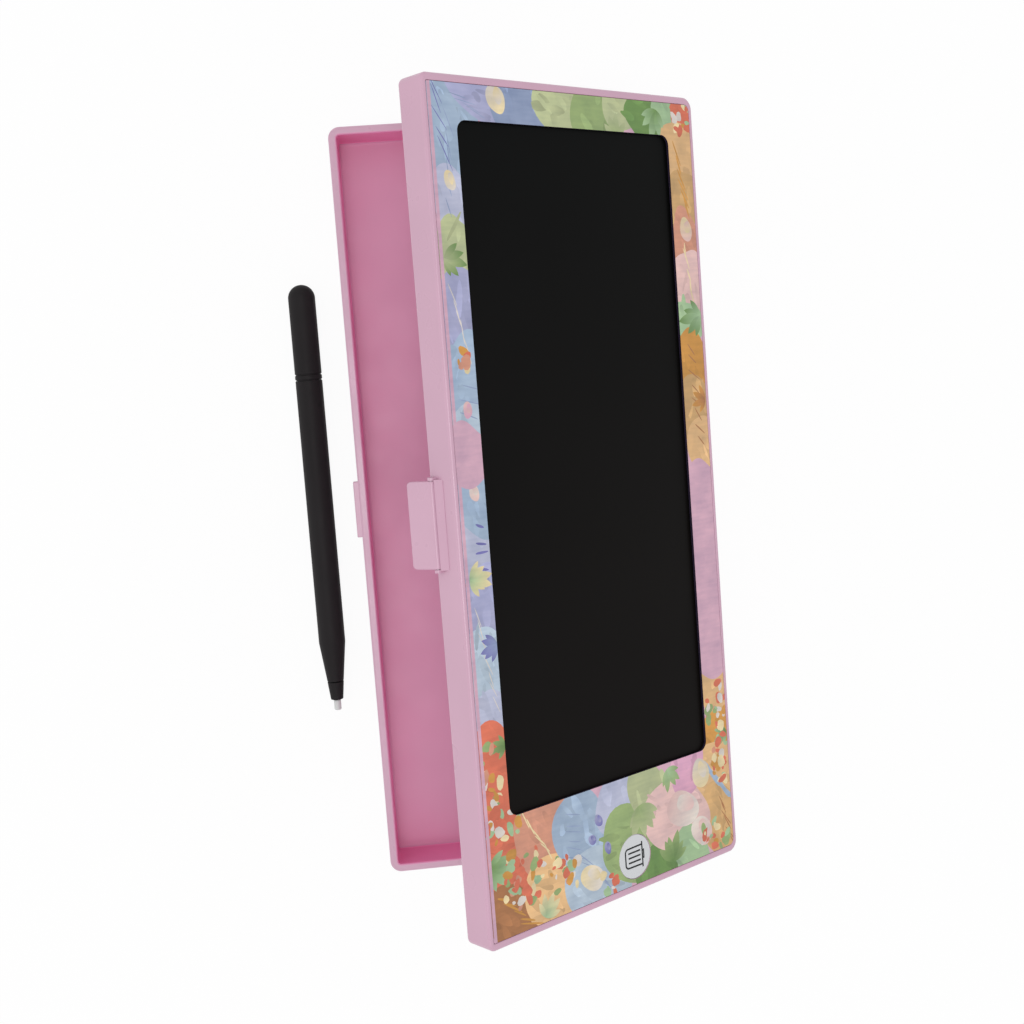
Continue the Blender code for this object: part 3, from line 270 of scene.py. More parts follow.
def steel(name, colour, roughness, smoother=0.06, rougher=0.08):
    """Plated steel with fine drawn lines along its length."""
    made = Surface(name)
    lines = made.noise(size=0.12, detail=3, stretch=(60, 1, 1))
    polish = made.noise(size=4, detail=3)
    return made.shade(
        Base_Color=made.mix(made.spread(lines), *[rgba(colour, tone) for tone in STEEL_TONES]),
        Roughness=made.spread(polish, roughness - smoother, roughness + rougher),
        Normal=made.bump(lines, depth=0.003), Metallic=1.0)


def film_surface():
    """The black writing film, with a fine matt grain and painted light: lighter and warmer towards the
    button end.
    """
    made = Surface("lcd_film")
    along = made.node("ShaderNodeSeparateXYZ", {"Vector": made.where})
    share = made.node("ShaderNodeMapRange", {
        "Value": along.outputs["X"], "From Min": FILM_LOW.x * MM, "From Max": FILM_HIGH.x * MM})
    cloud = made.mix(made.spread(made.noise(size=60)), *FILM_TONES)
    # Painted light: the black grows lighter and warmer along X, towards the button end
    tone = made.mix(share.outputs["Result"], rgba(FILM_BLACK), rgba(FILM_PAINTED_LIGHT_BLACK))
    return made.shade(
        Base_Color=made.mix(1.0, tone, cloud, "MULTIPLY"),
        Roughness=made.spread(made.noise(size=14, detail=4), low=0.36, high=0.44),
        Normal=made.bump(made.noise(size=0.25), depth=0.003), Specular_IOR_Level=0.05)


def print_surface():
    """The printed sheet: paint from the mesh's own colours, with brushed and clouded tones."""
    made = Surface("printed_sheet")
    paint = made.node("ShaderNodeVertexColor", layer_name="paint").outputs["Color"]
    cloud = made.mix(made.spread(made.noise(size=6.5, detail=5), high=0.9), *CLOUD_TONES)
    strokes = made.noise(size=1.1, detail=4, stretch=(1, 7, 1), tilt=OPENING)
    clouded = made.mix(1.0, paint, cloud, "MULTIPLY")
    return made.shade(
        Base_Color=made.mix(1.0, clouded, made.mix(made.spread(strokes), *BRUSH_TONES), "MULTIPLY"),
        Roughness=made.spread(made.noise(size=5, detail=4), low=0.30, high=0.38),
        Normal=made.bump(made.noise(size=0.3), depth=0.002), Specular_IOR_Level=0.3)


def board_surface():
    """Green solder mask over a faint web of tracks."""
    made = Surface("circuit_laminate")
    tracks = made.node("ShaderNodeTexBrick", {
        "Vector": made.where, "Scale": 1.0, "Mortar Size": 0.2 * MM, "Brick Width": 4.5 * MM,
        "Row Height": 1.3 * MM}, offset=0.35).outputs["Fac"]
    return made.shade(
        Base_Color=made.mix(tracks, rgba(SOLDER_MASK), rgba(TRACK_GREEN)),
        Roughness=made.spread(made.noise(size=3, detail=3), low=0.32, high=0.42),
        Normal=made.bump(tracks, depth=0.02), Specular_IOR_Level=0.5)


CASE = plastic("case_plastic", CASE_PINK, roughness=0.3)
# Copies of the case plastic for the tray's inside, their colours painted bounced light
INSIDE_PAINTED_BOUNCE = plastic("case_plastic_inside_painted_bounce", INSIDE_PAINTED_BOUNCE_PINK, roughness=0.42, specular=0.4)
WALL_PAINTED_BOUNCE = plastic("case_plastic_wall_painted_bounce", WALL_PAINTED_BOUNCE_PINK, roughness=0.42, specular=0.4)
LINING = plastic("case_plastic_cover", CASE_PINK, roughness=0.46, specular=0.4, grain=0.8, depth=0.01)
PRINT = print_surface()
SHEET_EDGE = plastic("sheet_edge", (222, 186, 204), roughness=0.4, specular=0.3)
WINDOW_EDGE = plastic("window_edge", (46, 38, 56), roughness=0.5, specular=0.1)
SCREEN = film_surface()
BUTTON_WHITE = plastic("button_plastic", (212, 214, 217), roughness=0.38, specular=0.4, tint=0.012)
ICON_INK = plastic("icon_ink", (34, 36, 38), roughness=0.5, specular=0.2)
STYLUS_BLACK = plastic("stylus_plastic", (38, 36, 37), roughness=0.5, specular=0.07, tint=0.06,
                       grain=0.8, depth=0.003)
NIB_GREY = plastic("nib_plastic", (208, 210, 209), roughness=0.42, specular=0.4, tint=0.02)
STEEL = steel("steel", (188, 190, 194), roughness=0.28)
TAPE = plastic("tape", (225, 224, 216), roughness=0.7, specular=0.2)
BACKING = plastic("backing_plastic", (118, 121, 126), roughness=0.55)
CHIP = plastic("black_plastic", (24, 24, 26), roughness=0.5)
FLEX = plastic("flex_circuit", (190, 126, 52), roughness=0.3, tint=0.08)
LAMINATE = board_surface()


# Mesh code
def plan(inset, z, half_length=HALF_LENGTH, half_width=HALF_WIDTH, front_radius=FRONT_RADIUS):
    """A ring round the case, moved in by an inset, at a height."""
    back = max(CORNER_RADIUS - inset, LEAST_RADIUS)
    front = max(front_radius - inset, LEAST_RADIUS)
    x, y = half_length - inset, half_width - inset
    return rounded_ring((-x, x), (-y, y), (back, front), z)


def rounded_ring(x_range, y_range, radii, z):
    """A ring on a rectangle with round corners: a radius for the back pair and one for the front."""
    back, front = radii
    corners = (
        (x_range[1] - back, y_range[1] - back, back),
        (x_range[0] + back, y_range[1] - back, back),
        (x_range[0] + front, y_range[0] + front, front),
        (x_range[1] - front, y_range[0] + front, front),
    )
    return [Vector((*point, z)) for quarter, (x, y, radius) in enumerate(corners)
            for point in arc((x, y), radius, quarter, 1, CORNER_STEPS)]


def arc(centre, radius, start, turn, steps):
    """Points on an arc, with angles in quarter turns."""
    angles = [(start + turn * step / steps) * pi / 2 for step in range(steps + 1)]
    return [(centre[0] + radius * cos(a), centre[1] + radius * sin(a)) for a in angles]


def circle(centre, radius, steps=DISC_STEPS):
    """Points on a circle."""
    return arc(centre, radius, 0, 4, steps)[:-1]


def soften(corners, steps=FILLET_STEPS):
    """A profile of (u, v) corners, where those of (u, v, radius) are rounded."""
    points = [Vector(corners[0][:2])]
    for before, (u, v, *rounding), after in zip(corners, corners[1:], corners[2:]):
        here = Vector((u, v))
        if not any(rounding):
            points.append(here)
            continue
        radius = rounding[0]
        back = (Vector(before[:2]) - here).normalized()
        on = (Vector(after[:2]) - here).normalized()
        half = back.angle(on) / 2
        centre = here + (back + on).normalized() * radius / sin(half)
        start = here + back * radius / tan(half) - centre
        end = here + on * radius / tan(half) - centre
        for step in range(steps + 1):
            share = step / steps
            points.append(centre + (start * (1 - share) + end * share).normalized() * radius)
    return points + [Vector(corners[-1][:2])]


def loft(rings, closed=False):
    """A surface through rings of as many points each, capped at both ends unless it closes."""
    shape = bmesh.new()
    rows = [[shape.verts.new(point) for point in ring] for ring in rings]
    count = len(rows[0])
    for lower, upper in zip(rows, rows[1:] + (rows[:1] if closed else [])):
        for index in range(count):
            after = (index + 1) % count
            shape.faces.new((lower[index], lower[after], upper[after], upper[index]))
    if not closed:
        shape.faces.new(reversed(rows[0]))
        shape.faces.new(rows[-1])
    bmesh.ops.recalc_face_normals(shape, faces=shape.faces)
    return shape


def lathe(profile, steps=ROUND_STEPS):
    """A shape turned about Z from a profile of (radius, height)."""
    shape = bmesh.new()
    rows = []
    for radius, height in profile:
        if radius < ON_AXIS:
            rows.append([shape.verts.new((0, 0, height))] * steps)
        else:
            rows.append([shape.verts.new((x, y, height)) for x, y in circle((0, 0), radius, steps)])
    for lower, upper in zip(rows, rows[1:]):
        for index in range(steps):
            after = (index + 1) % steps
            corners = (lower[index], lower[after], upper[after], upper[index])
            shape.faces.new(list(dict.fromkeys(corners)))
    bmesh.ops.recalc_face_normals(shape, faces=shape.faces)
    return shape


def moved(shape, place):
    """A shape moved by a matrix in millimetres."""
    bmesh.ops.transform(shape, matrix=place, verts=shape.verts)
    return shape


def along_x(shape, centre):
    """A shape that was made about Z, laid along X through a centre."""
    return moved(shape, Matrix.Translation(centre) @ Matrix.Rotation(pi / 2, 4, "Y"))


def disc(radius, low, high, edge=0.0):
    """A round bar about Z, with its rims rounded."""
    corners = [(0, low), (radius, low, edge), (radius, high, edge), (0, high)]
    return lathe(soften(corners, SMALL_STEPS))


def rod(centre, radius, low, high, edge=0.0):
    """A round bar from low to high along X through a centre, with its rims rounded."""
    return along_x(disc(radius, low, high, edge), (0, *centre[1:]))


def brick(low, high, edge=0.0):
    """A box between two corners, with its edges rounded."""
    low, high = Vector(low), Vector(high)
    shape = bmesh.new()
    bmesh.ops.create_cube(shape, size=1.0, matrix=Matrix.Translation((low + high) / 2) @
                          Matrix.Diagonal((*(high - low), 1)))
    if edge:
        bmesh.ops.bevel(shape, geom=shape.edges[:], offset=edge, segments=SMALL_STEPS,
                        profile=ROUND_PROFILE, affect="EDGES")
    return shape


def to_mesh(name, shape):
    """A mesh made from a shape, which is freed."""
    mesh = bpy.data.meshes.new(name)
    shape.to_mesh(mesh)
    shape.free()
    return mesh


def placed(name, data):
    """A new object in the scene."""
    made = bpy.data.objects.new(name, data)
    bpy.context.scene.collection.objects.link(made)
    return made


def combined(shape, tool, operation="DIFFERENCE"):
    """A shape with a tool cut out of it, or joined on."""
    holder = placed("shape", to_mesh("shape", shape))
    cutter = placed("tool", to_mesh("tool", tool))
    modifier = holder.modifiers.new("combine", "BOOLEAN")
    modifier.operation = operation
    modifier.solver = "EXACT"
    modifier.object = cutter
    mesh = bpy.data.meshes.new_from_object(holder.evaluated_get(bpy.context.evaluated_depsgraph_get()))
    made = bmesh.new()
    made.from_mesh(mesh)
    for used in (mesh, holder.data, cutter.data):
        bpy.data.meshes.remove(used)
    return made


def piece(name, shape, place, body, slot, materials, replaced=(), pick=None):
    """Put a shape in the scene: its placement, body and materials. The slot is not used."""
    if pick:
        for face in shape.faces:
            face.material_index = pick(face)
    bmesh.ops.scale(shape, vec=(MM, MM, MM), verts=shape.verts)
    mesh = to_mesh(name, shape)
    mesh.transform(place)
    for material in materials:
        mesh.materials.append(material)
    mesh.shade_smooth()
    mesh.set_sharp_from_angle(angle=SHARP_ANGLE)
    made = placed(name, mesh)
    made.modifiers.new("flat_faces_stay_flat", "WEIGHTED_NORMAL").keep_sharp = True
    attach(made, body)
    if replaced:
        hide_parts(*replaced)


# Hinge
KNUCKLE_RADIUS = TRAY_HIGH.z - HINGE.z
KNUCKLE_EDGE = 0.3
KNUCKLE_GAP = 0.4
LID_KNUCKLE = 14.0
WEB = 1.6
PIN_LOW, PIN_HIGH = span("hinge_pin_2")
PIN_INSET = 0.4
PIN_CLEARANCE = 0.25
PIN_HOLE = (PIN_HIGH.y - PIN_LOW.y) / 2 + PIN_CLEARANCE
HINGE_X = (PIN_LOW.x + PIN_HIGH.x) / 2
HINGE_REACH = (PIN_HIGH.x - PIN_LOW.x) / 2 + PIN_INSET


def at_hinges(half):
    """The low and high end of a length about the middle of each hinge."""
    return [(middle - half, middle + half) for middle in (-HINGE_X, HINGE_X)]


def join_knuckles(shape, spans, axis_z, web_low, bores):
    """A shell with knuckles and their webs joined to its back, and bored."""
    for low, high in spans:
        knuckle = rod((0, HINGE.y, axis_z), KNUCKLE_RADIUS, low, high, KNUCKLE_EDGE)
        shape = combined(shape, knuckle, "UNION")
        web = brick((low + GAP, HALF_WIDTH - JOIN, web_low), (high - GAP, HINGE.y, web_low + WEB))
        shape = combined(shape, web, "UNION")
    for low, high in bores:
        bore = rod((0, HINGE.y, axis_z), PIN_HOLE, low - OVERRUN, high + OVERRUN)
        shape = combined(shape, bore)
    return shape


# Tray
LUG_HALF = 8.75
LUG_LOW, LUG_HIGH = 14.8, 17.6
LUG_REACH = 1.3
LUG_EDGE = 0.3
RIM_MARGIN = 0.45


def make_tray():
    """The tray: walls with soft rims, a filleted floor, the catch lug and the fixed knuckles."""
    length, width = HALF_LENGTH - TRAY_STEP, HALF_WIDTH - TRAY_STEP
    profile = soften([
        (CAP_INSET, 0), (0, 0, TRAY_EDGE), (0, RIM, TRAY_EDGE), (TRAY_WALL, RIM, TRAY_RIM_EDGE),
        (TRAY_WALL, TRAY_FLOOR, FLOOR_FILLET), (CAP_INSET, TRAY_FLOOR)])
    shape = loft([plan(inset, z, length, width, CORNER_RADIUS) for inset, z in profile])
    lug = brick((-LUG_HALF, FRONT - LUG_REACH, LUG_LOW), (LUG_HALF, FRONT + JOIN, LUG_HIGH), LUG_EDGE)
    shape = combined(shape, lug, "UNION")
    bores = at_hinges(HINGE_REACH)
    spans = [ends for (low, high), (start, end) in zip(bores, at_hinges(LID_KNUCKLE / 2 + KNUCKLE_GAP))
             for ends in ((low, start), (end, high))]
    shape = join_knuckles(shape, spans, HINGE.z, HINGE.z - GAP - WEB, bores)
    wall = TRAY_WALL - RIM_MARGIN

    def inside(face):
        """Slot 1 for the floor inside the tray, and slot 2 for the walls there, whose colours are painted
        bounced light.
        """
        x, y, z = face.calc_center_median()
        if abs(x) > length - wall or abs(y) > width - wall or z < TRAY_FLOOR / 2:
            return 0
        return 2 if face.normal.z < STEEP else 1

    piece("tray_body", shape, TRAY, "tray", "case_plastic", [CASE, INSIDE_PAINTED_BOUNCE, WALL_PAINTED_BOUNCE], ["tray_shell"], inside)


# Lid
BUTTON_LOW, BUTTON_HIGH = span("erase_button", LID)
BUTTON_AT = (BUTTON_LOW + BUTTON_HIGH) / 2
FLANGE_RADIUS = (BUTTON_HIGH.x - BUTTON_LOW.x) / 2
FLANGE_REACH = 1.25
FLANGE_CLEARANCE = 0.6
BUTTON_RADIUS = FLANGE_RADIUS - FLANGE_REACH
LATCH_LOW, LATCH_HIGH = span("latch", LATCH)
RECESS_DEPTH = 0.12
RECESS_RISE = 3.8
EAR_RADIUS = 0.95
EAR_THICKNESS = 0.9
EAR_SETBACK = 0.02
ROOT_INSET = 0.05
PIN_RADIUS = 0.6
SADDLE_RISE = 3.2
KNUCKLE_SEAT = 1.0
OVERLAP = 0.2


def make_lid():
    """The lid's frame: a soft rim round the panel, its ledge, knuckles, latch ears and recess."""
    outer = soften([
        (LID_WALL, LEDGE_LOW), (LID_WALL, 0, LID_LOW_INNER_EDGE), (0, 0, LID_LOW_EDGE),
        (0, LID_TOP, LID_EDGE), (LID_WALL, LID_TOP, LID_INNER_EDGE), (LID_WALL, LEDGE_TOP)])

    def end_rim(inset, z):
        """What the rim's top has at the two ends beyond its width at the sides."""
        share = (inset - LID_EDGE) / (LID_WALL - LID_EDGE)
        return END_RIM * max(0, share) if z > LID_TOP / 2 else 0

    rings = [plan(inset, z, HALF_LENGTH - end_rim(inset, z)) for inset, z in outer]
    film_x = (FILM_LOW.x - FILM_CLEARANCE, FILM_HIGH.x + FILM_CLEARANCE)
    film_y = (FILM_LOW.y - FILM_CLEARANCE, FILM_HIGH.y + FILM_CLEARANCE)
    rings += [rounded_ring(film_x, film_y, (OVERRUN, OVERRUN), z) for z in (LEDGE_TOP, LEDGE_LOW)]
    shape = loft(rings, closed=True)
    hole = disc(FLANGE_RADIUS + FLANGE_CLEARANCE, LEDGE_LOW - OVERRUN, LEDGE_TOP + OVERRUN)
    shape = combined(shape, moved(hole, Matrix.Translation((*BUTTON_AT.xy, 0))))
    half = LATCH_HIGH.x + SIDE_GAP
    recess = brick((-half, FRONT - OVERRUN, -OVERRUN), (half, FRONT + RECESS_DEPTH, PIVOT.z + RECESS_RISE))
    shape = combined(shape, recess)
    near = half + EAR_SETBACK
    slope = [(FRONT + JOIN, PIVOT.z + SADDLE_RISE), (FRONT, PIVOT.z + SADDLE_RISE),
             (PIVOT.y, PIVOT.z + EAR_RADIUS + GAP), (PIVOT.y, PIVOT.z), (FRONT + JOIN, PIVOT.z)]
    saddle = loft([[Vector((x, y, z)) for y, z in slope] for x in (-near - OVERLAP, near + OVERLAP)])
    saddle = combined(saddle, rod(PIVOT, KNUCKLE_SEAT, -half - OVERRUN, half + OVERRUN))
    shape = combined(shape, saddle, "UNION")
    for low, high in ((-near - EAR_THICKNESS, -near), (near, near + EAR_THICKNESS)):
        shape = combined(shape, rod(PIVOT, EAR_RADIUS, low, high, FINE_EDGE), "UNION")
        root = brick((low + ROOT_INSET, PIVOT.y, PIVOT.z - EAR_RADIUS),
                     (high - ROOT_INSET, FRONT + JOIN, PIVOT.z + EAR_RADIUS))
        shape = combined(shape, root, "UNION")
    shape = combined(shape, rod(PIVOT, PIN_RADIUS, -half - 3 * OVERRUN, half + 3 * OVERRUN))
    spans = at_hinges(LID_KNUCKLE / 2)
    axis_z = HINGE.z - LID_BASE
    shape = join_knuckles(shape, spans, axis_z, axis_z + GAP, spans)
    piece("lid_shell", shape, LID, "lid", "case_plastic", [CASE], ["lid_frame"])


# Printed panel
PANEL_GROW = 0.15
FILM_OVERLAP = 2.0
WINDOW_RADIUS = 3.0
WINDOW_X = (FILM_LOW.x + FILM_OVERLAP, FILM_HIGH.x - FILM_OVERLAP)
WINDOW_Y = (FILM_LOW.y + FILM_OVERLAP, FILM_HIGH.y - FILM_OVERLAP)
SAME_POINT = 1e-5


def fill(outline, holes, shapes):
    """Triangles inside an outline and outside its holes, each with the last of the shapes on it."""
    points, faces = [], []
    for ring in (outline, *holes, *shapes):
        ring = [Vector(point[:2]) for point in ring]
        area = sum(here.cross(after) for here, after in zip(ring, ring[1:] + ring[:1]))
        faces.append(list(range(len(points), len(points) + len(ring))))
        points += ring if area > 0 else reversed(ring)
    verts, _, triangles, _, _, origins = delaunay_2d_cdt(points, [], faces, 1, SAME_POINT)
    first_shape = 1 + len(holes)
    return verts, [(triangle, max(origin) - first_shape) for triangle, origin in zip(triangles, origins)
                   if 0 in origin and not any(0 < index < first_shape for index in origin)]


def sheet(verts, triangles, low, high, paints=None):
    """A flat sheet from triangles, with paint on its upper side if it has paints."""
    shape = bmesh.new()
    paint = shape.loops.layers.float_color.new("paint") if paints else None
    made = [shape.verts.new((*vert, high)) for vert in verts]
    for triangle, top in triangles:
        face = shape.faces.new([made[index] for index in triangle])
        if paints:
            for loop in face.loops:
                loop[paint] = paints[top + 1](loop.vert.co)
    bmesh.ops.delete(shape, geom=[vert for vert in shape.verts if not vert.link_faces], context="VERTS")
    bmesh.ops.recalc_face_normals(shape, faces=shape.faces)
    if shape.faces[:][0].normal.z < 0:
        bmesh.ops.reverse_faces(shape, faces=shape.faces)
    grown = bmesh.ops.extrude_face_region(shape, geom=shape.faces[:], use_keep_orig=True)
    lower = [item for item in grown["geom"] if isinstance(item, bmesh.types.BMVert)]
    bmesh.ops.translate(shape, vec=(0, 0, low - high), verts=lower)
    bmesh.ops.recalc_face_normals(shape, faces=shape.faces)
    return shape


def make_panel():
    """The printed panel with its screen window and button hole."""
    outline = plan(PANEL_INSET - PANEL_GROW, 0, HALF_LENGTH - END_RIM)
    window = rounded_ring(WINDOW_X, WINDOW_Y, (WINDOW_RADIUS, WINDOW_RADIUS), 0)
    hole = circle(BUTTON_AT.xy, BUTTON_RADIUS + SIDE_GAP)
    shapes = painted()
    verts, triangles = fill(outline, [window, hole], [shape[0] for shape in shapes])
    paints = [wash(outline, PRINT_PINK, PRINT_PINK), *[wash(*shape) for shape in shapes]]
    shape = sheet(verts, triangles, PANEL_LOW.z, PANEL_HIGH.z, paints)

    def edge(face):
        """Slot 1 for the faces that don't carry the print, and slot 2 for those round the window."""
        if face.normal.z > STEEP:
            return 0
        x, y, _ = face.calc_center_median()
        near = WINDOW_X[0] - GAP < x < WINDOW_X[1] + GAP and WINDOW_Y[0] - GAP < y < WINDOW_Y[1] + GAP
        return 2 if near else 1

    piece("printed_panel_sheet", shape, LID, "lid", "printed_sheet", [PRINT, SHEET_EDGE, WINDOW_EDGE],
          ["printed_panel"], edge)


# The picture on the panel: washes with brush marks, then leaves, pebbles and bunches of petals
BLUE = (166, 186, 210)
SKY = (180, 196, 212)
SLATE = (148, 163, 196)
LILAC = (168, 170, 204)
MIST = (186, 190, 214)
VIOLET = (118, 116, 178)
SAGE = (180, 188, 146)
GREEN = (150, 172, 116)
LEAF = (108, 143, 80)
MINT = (164, 194, 152)
PINK = (216, 164, 190)
BLUSH = (226, 190, 186)
PEACH = (226, 184, 134)
TAN = (208, 168, 116)
OCHRE = (208, 150, 74)
BROWN = (172, 118, 78)
SALMON = (214, 152, 128)
CORAL = (217, 116, 90)
CREAM = (235, 216, 170)
IVORY = (222, 214, 206)

# Each wash: the x and y of its middle, its half length and half width, its turn and its colour
WASHES = (
    (-112, -44, 15, 9, 0.2, BLUE), (-114, -33, 12, 8, 1.2, LILAC), (-111, -18, 12, 10, 0.4, SLATE),
    (-113, -3, 11, 9, 1.0, SAGE), (-111, 11, 12, 10, 0.2, GREEN), (-114, 22, 9, 8, 0.9, SAGE),
    (-111, 31, 9, 7, 1.4, LEAF), (-112, 41, 8, 6, 0.5, MINT), (-110, 48, 9, 6, 0.2, CORAL),
    (-96, -46, 16, 8, 0.1, BLUE), (-82, -44, 12, 7, 0.3, MIST), (-70, -46, 12, 6, -0.3, SAGE),
    (-54, -45, 15, 8, 0.1, LILAC), (-38, -46, 13, 8, -0.2, BLUE), (-22, -44, 11, 8, 0.2, SKY),
    (8, -46, 11, 8, 0.2, MIST), (23, -44, 12, 8, -0.1, LILAC), (40, -46, 13, 8, 0.1, SKY),
    (-5, -45, 10, 7, 0.3, BLUE), (54, -44, 9, 7, 0.4, MIST), (66, -45, 11, 8, 0.2, CORAL),
    (80, -44, 14, 10, 0.6, CORAL), (-99, 46, 12, 8, 0.3, PEACH), (-86, 45, 11, 7, -0.2, TAN),
    (-74, 46, 11, 6, 0.3, SALMON), (-62, 46, 11, 7, -0.1, BLUSH), (-50, 44, 7, 7, 0.4, MINT),
    (-38, 46, 11, 7, 0.2, OCHRE), (-24, 45, 11, 7, -0.2, TAN), (-13, 47, 9, 6, 0.2, PEACH),
    (67, 47, 11, 7, 0.2, PEACH), (80, 46, 11, 8, 0.8, OCHRE), (92, 44, 15, 11, 1.2, PEACH),
    (106, 46, 13, 10, 0.2, TAN), (98, -43, 18, 11, 1.3, CORAL), (111, -42, 12, 9, 0.8, BROWN),
    (90, -30, 13, 10, 0.4, SALMON), (108, -27, 13, 10, 1.0, PEACH), (94, -14, 14, 11, 0.3, BLUE),
    (110, -10, 13, 11, 0.9, SKY), (89, 0, 9, 9, 0.2, MIST), (103, 6, 15, 11, 1.3, GREEN),
    (90, 14, 11, 9, 0.5, SAGE), (114, 16, 10, 9, 0.2, LEAF), (99, 25, 14, 12, 1.1, BLUSH),
    (113, 31, 9, 8, 0.4, MINT), (86, 31, 8, 8, 0.3, PINK),
)

# Each bunch of petals: the x and y of its middle, its half length and half width, and its count
BUNCHES = (
    (-111, 47, 5, 5, 16), (68, -46, 9, 5, 18), (84, -45, 9, 7, 26), (100, -38, 9, 8, 46),
    (104, -22, 6, 6, 20), (69, 46, 8, 5, 26), (86, 47, 8, 5, 26), (110, 42, 5, 7, 20),
    (-43, -46, 3, 3, 7), (112, -6, 4, 5, 9),
)
PETALS = (CORAL, CORAL, CORAL, SALMON, CREAM, OCHRE, MINT, GREEN, IVORY)

# Each fan of leaves: the x and y of its root, its length, its heading, its count and its two colours
FANS = (
    (-70, -49, 8, 1.3, 5, SAGE, LEAF), (-103, 18, 9, 3.0, 5, GREEN, SAGE),
    (15, -49, 8, 1.5, 6, MINT, CREAM), (34, -41, 7, -1.4, 5, SLATE, VIOLET),
    (-113, 36, 9, -0.4, 5, LEAF, MINT), (-52, 50, 9, -1.4, 5, MINT, LEAF),
    (92, 9, 11, 0.3, 6, GREEN, SAGE), (113, 22, 10, 3.0, 6, LEAF, GREEN),
    (84, 22, 8, 0.5, 5, MINT, GREEN), (78, 50, 7, -1.2, 5, LEAF, MINT), (94, -50, 9, 1.2, 5, LEAF, MINT),
    (114, -31, 8, 2.6, 5, MINT, CREAM), (62, -41, 6, -1.6, 4, LEAF, GREEN),
    (-26, 50, 7, -1.7, 4, BROWN, OCHRE),
)

# Each pebble: the x and y of its middle, its half length, its turn, its colour and its lighter patch
PEBBLES = (
    (-112, -27, 4.2, 0.4, CREAM, IVORY), (-90, -45, 2.6, 0.3, IVORY, CREAM),
    (-30, -45, 2.2, 0.1, PINK, BLUSH), (98, 28, 7.5, 1.0, IVORY, BLUSH),
    (107, 36, 5.5, 0.6, BLUSH, IVORY), (89, 37, 5.0, 0.2, CREAM, IVORY),
    (108, -12, 5.0, 1.2, IVORY, CREAM), (92, -8, 2.0, 0.4, VIOLET, LILAC),
    (97, -11, 1.8, 0.9, VIOLET, LILAC), (101, -5, 1.9, 0.2, VIOLET, LILAC),
    (-78, 46, 3.6, 0.1, BLUSH, CREAM), (-8, -45, 2.4, 0.2, BLUSH, IVORY),
)

# Each row of strokes: its start and end, its count, its length and width, its heading and its colour
STROKES = (
    (-114, -48, -98, -46, 5, 9, 0.3, 0.5, VIOLET), (-112, -40, -108, -34, 4, 8, 0.25, 1.3, SLATE),
    (-104, -44, -84, -46, 6, 7, 0.3, 0.2, SLATE), (-60, -47, -44, -43, 6, 6, 0.35, 0.3, IVORY),
    (-36, -43, -18, -47, 6, 7, 0.35, 1.2, SLATE), (2, -44, 12, -44, 4, 4, 0.8, 1.4, VIOLET),
    (26, -47, 50, -43, 7, 7, 0.3, 0.4, IVORY), (-100, 44, -84, 47, 6, 8, 0.6, 0.4, OCHRE),
    (-72, 45, -58, 47, 5, 6, 0.5, 0.2, CREAM), (-42, 45, -14, 47, 8, 5, 0.4, 0.8, BROWN),
    (88, -18, 100, -18, 6, 7, 0.3, 1.3, SLATE), (102, -14, 114, -4, 6, 8, 0.3, 0.9, SLATE),
    (88, 40, 98, 49, 5, 12, 1.4, 0.7, BLUE), (84, -36, 96, -28, 6, 6, 0.45, 0.6, CREAM),
    (104, -46, 114, -36, 6, 7, 0.6, 1.1, OCHRE), (100, 46, 114, 50, 6, 6, 0.4, 0.5, BROWN),
)

# The bare margins of the sheet: a strip along the latch side, and a stretch of each long side
STRIP = 1.1
BARE_BACK = (-6.0, 58.0)
BARE_FRONT = (-25.0, -12.0)
BARE_STEPS = 16
# The turn and the height of the wave at the low end of a stretch, and at its high end
BARE_WAVES = ((4, -2.5), (3, 3.0))

# Brush work: tones are shares of a colour, turns are in radians, and a pair has the ends of a range
TONES = (0.96, 1.04)
FAR_TONES = (0.93, 1.05)
PATCH_TONES = (0.96, 1.0)
PATCH_FAR_TONES = (1.0, 1.06)
MARK_TONES = (0.90, 1.12)
MARK_FAR_TONES = (0.95, 1.06)
MARK_LENGTHS = (1.6, 4.6)
MARK_WIDTHS = (0.5, 1.5)
MARK_TURNS = (-0.5, 0.5)
MARK_AREA = 9
MARK_REACH = 0.85
LEAF_TONES = (0.94, 1.04)
LEAF_WIDTH = 0.34
LEAF_POWER = 0.8
LEAF_STEPS = 8
FAN_LENGTHS = (0.85, 1.1)
FAN_TURNS = (-0.1, 0.1)
FAN_SPREAD = 1.9
FAN_LOSS = 0.5
STROKE_SHIFTS = (-0.25, 0.25)
STROKE_LENGTHS = (0.35, 0.6)
STROKE_TURNS = (-0.2, 0.2)
PEBBLE_WIDTH = 0.72
LIGHT_AT = Vector((-0.2, 0.16))
LIGHT_LENGTH, LIGHT_WIDTH = 0.55, 0.34
PETAL_SIZES = (0.7, 2.1)
PETAL_WIDTHS = (0.55, 0.95)


def painted():
    """The shapes of the picture from the back to the front: outlines with two colours."""
    shapes = []
    for paint, table in ((patch, WASHES), (strokes, STROKES), (fan, FANS), (pebble, PEBBLES),
                         (bunch, BUNCHES)):
        for x, y, *rest in table:
            shapes += paint(Vector((x, y)), *rest)
    return [*shapes, *margins()]


def wash(outline, colour, far_colour):
    """A paint that goes from one colour to another across an outline."""
    near, far = Vector(linear(colour)), Vector(linear(far_colour))
    origin, end = [Vector(point[:2]) for point in (outline[0], outline[len(outline) // 2])]
    run = end - origin

    def at(point):
        share = min(1.0, max(0.0, (Vector(point[:2]) - origin).dot(run) / run.length_squared))
        return (*near.lerp(far, share), 1.0)

    return at


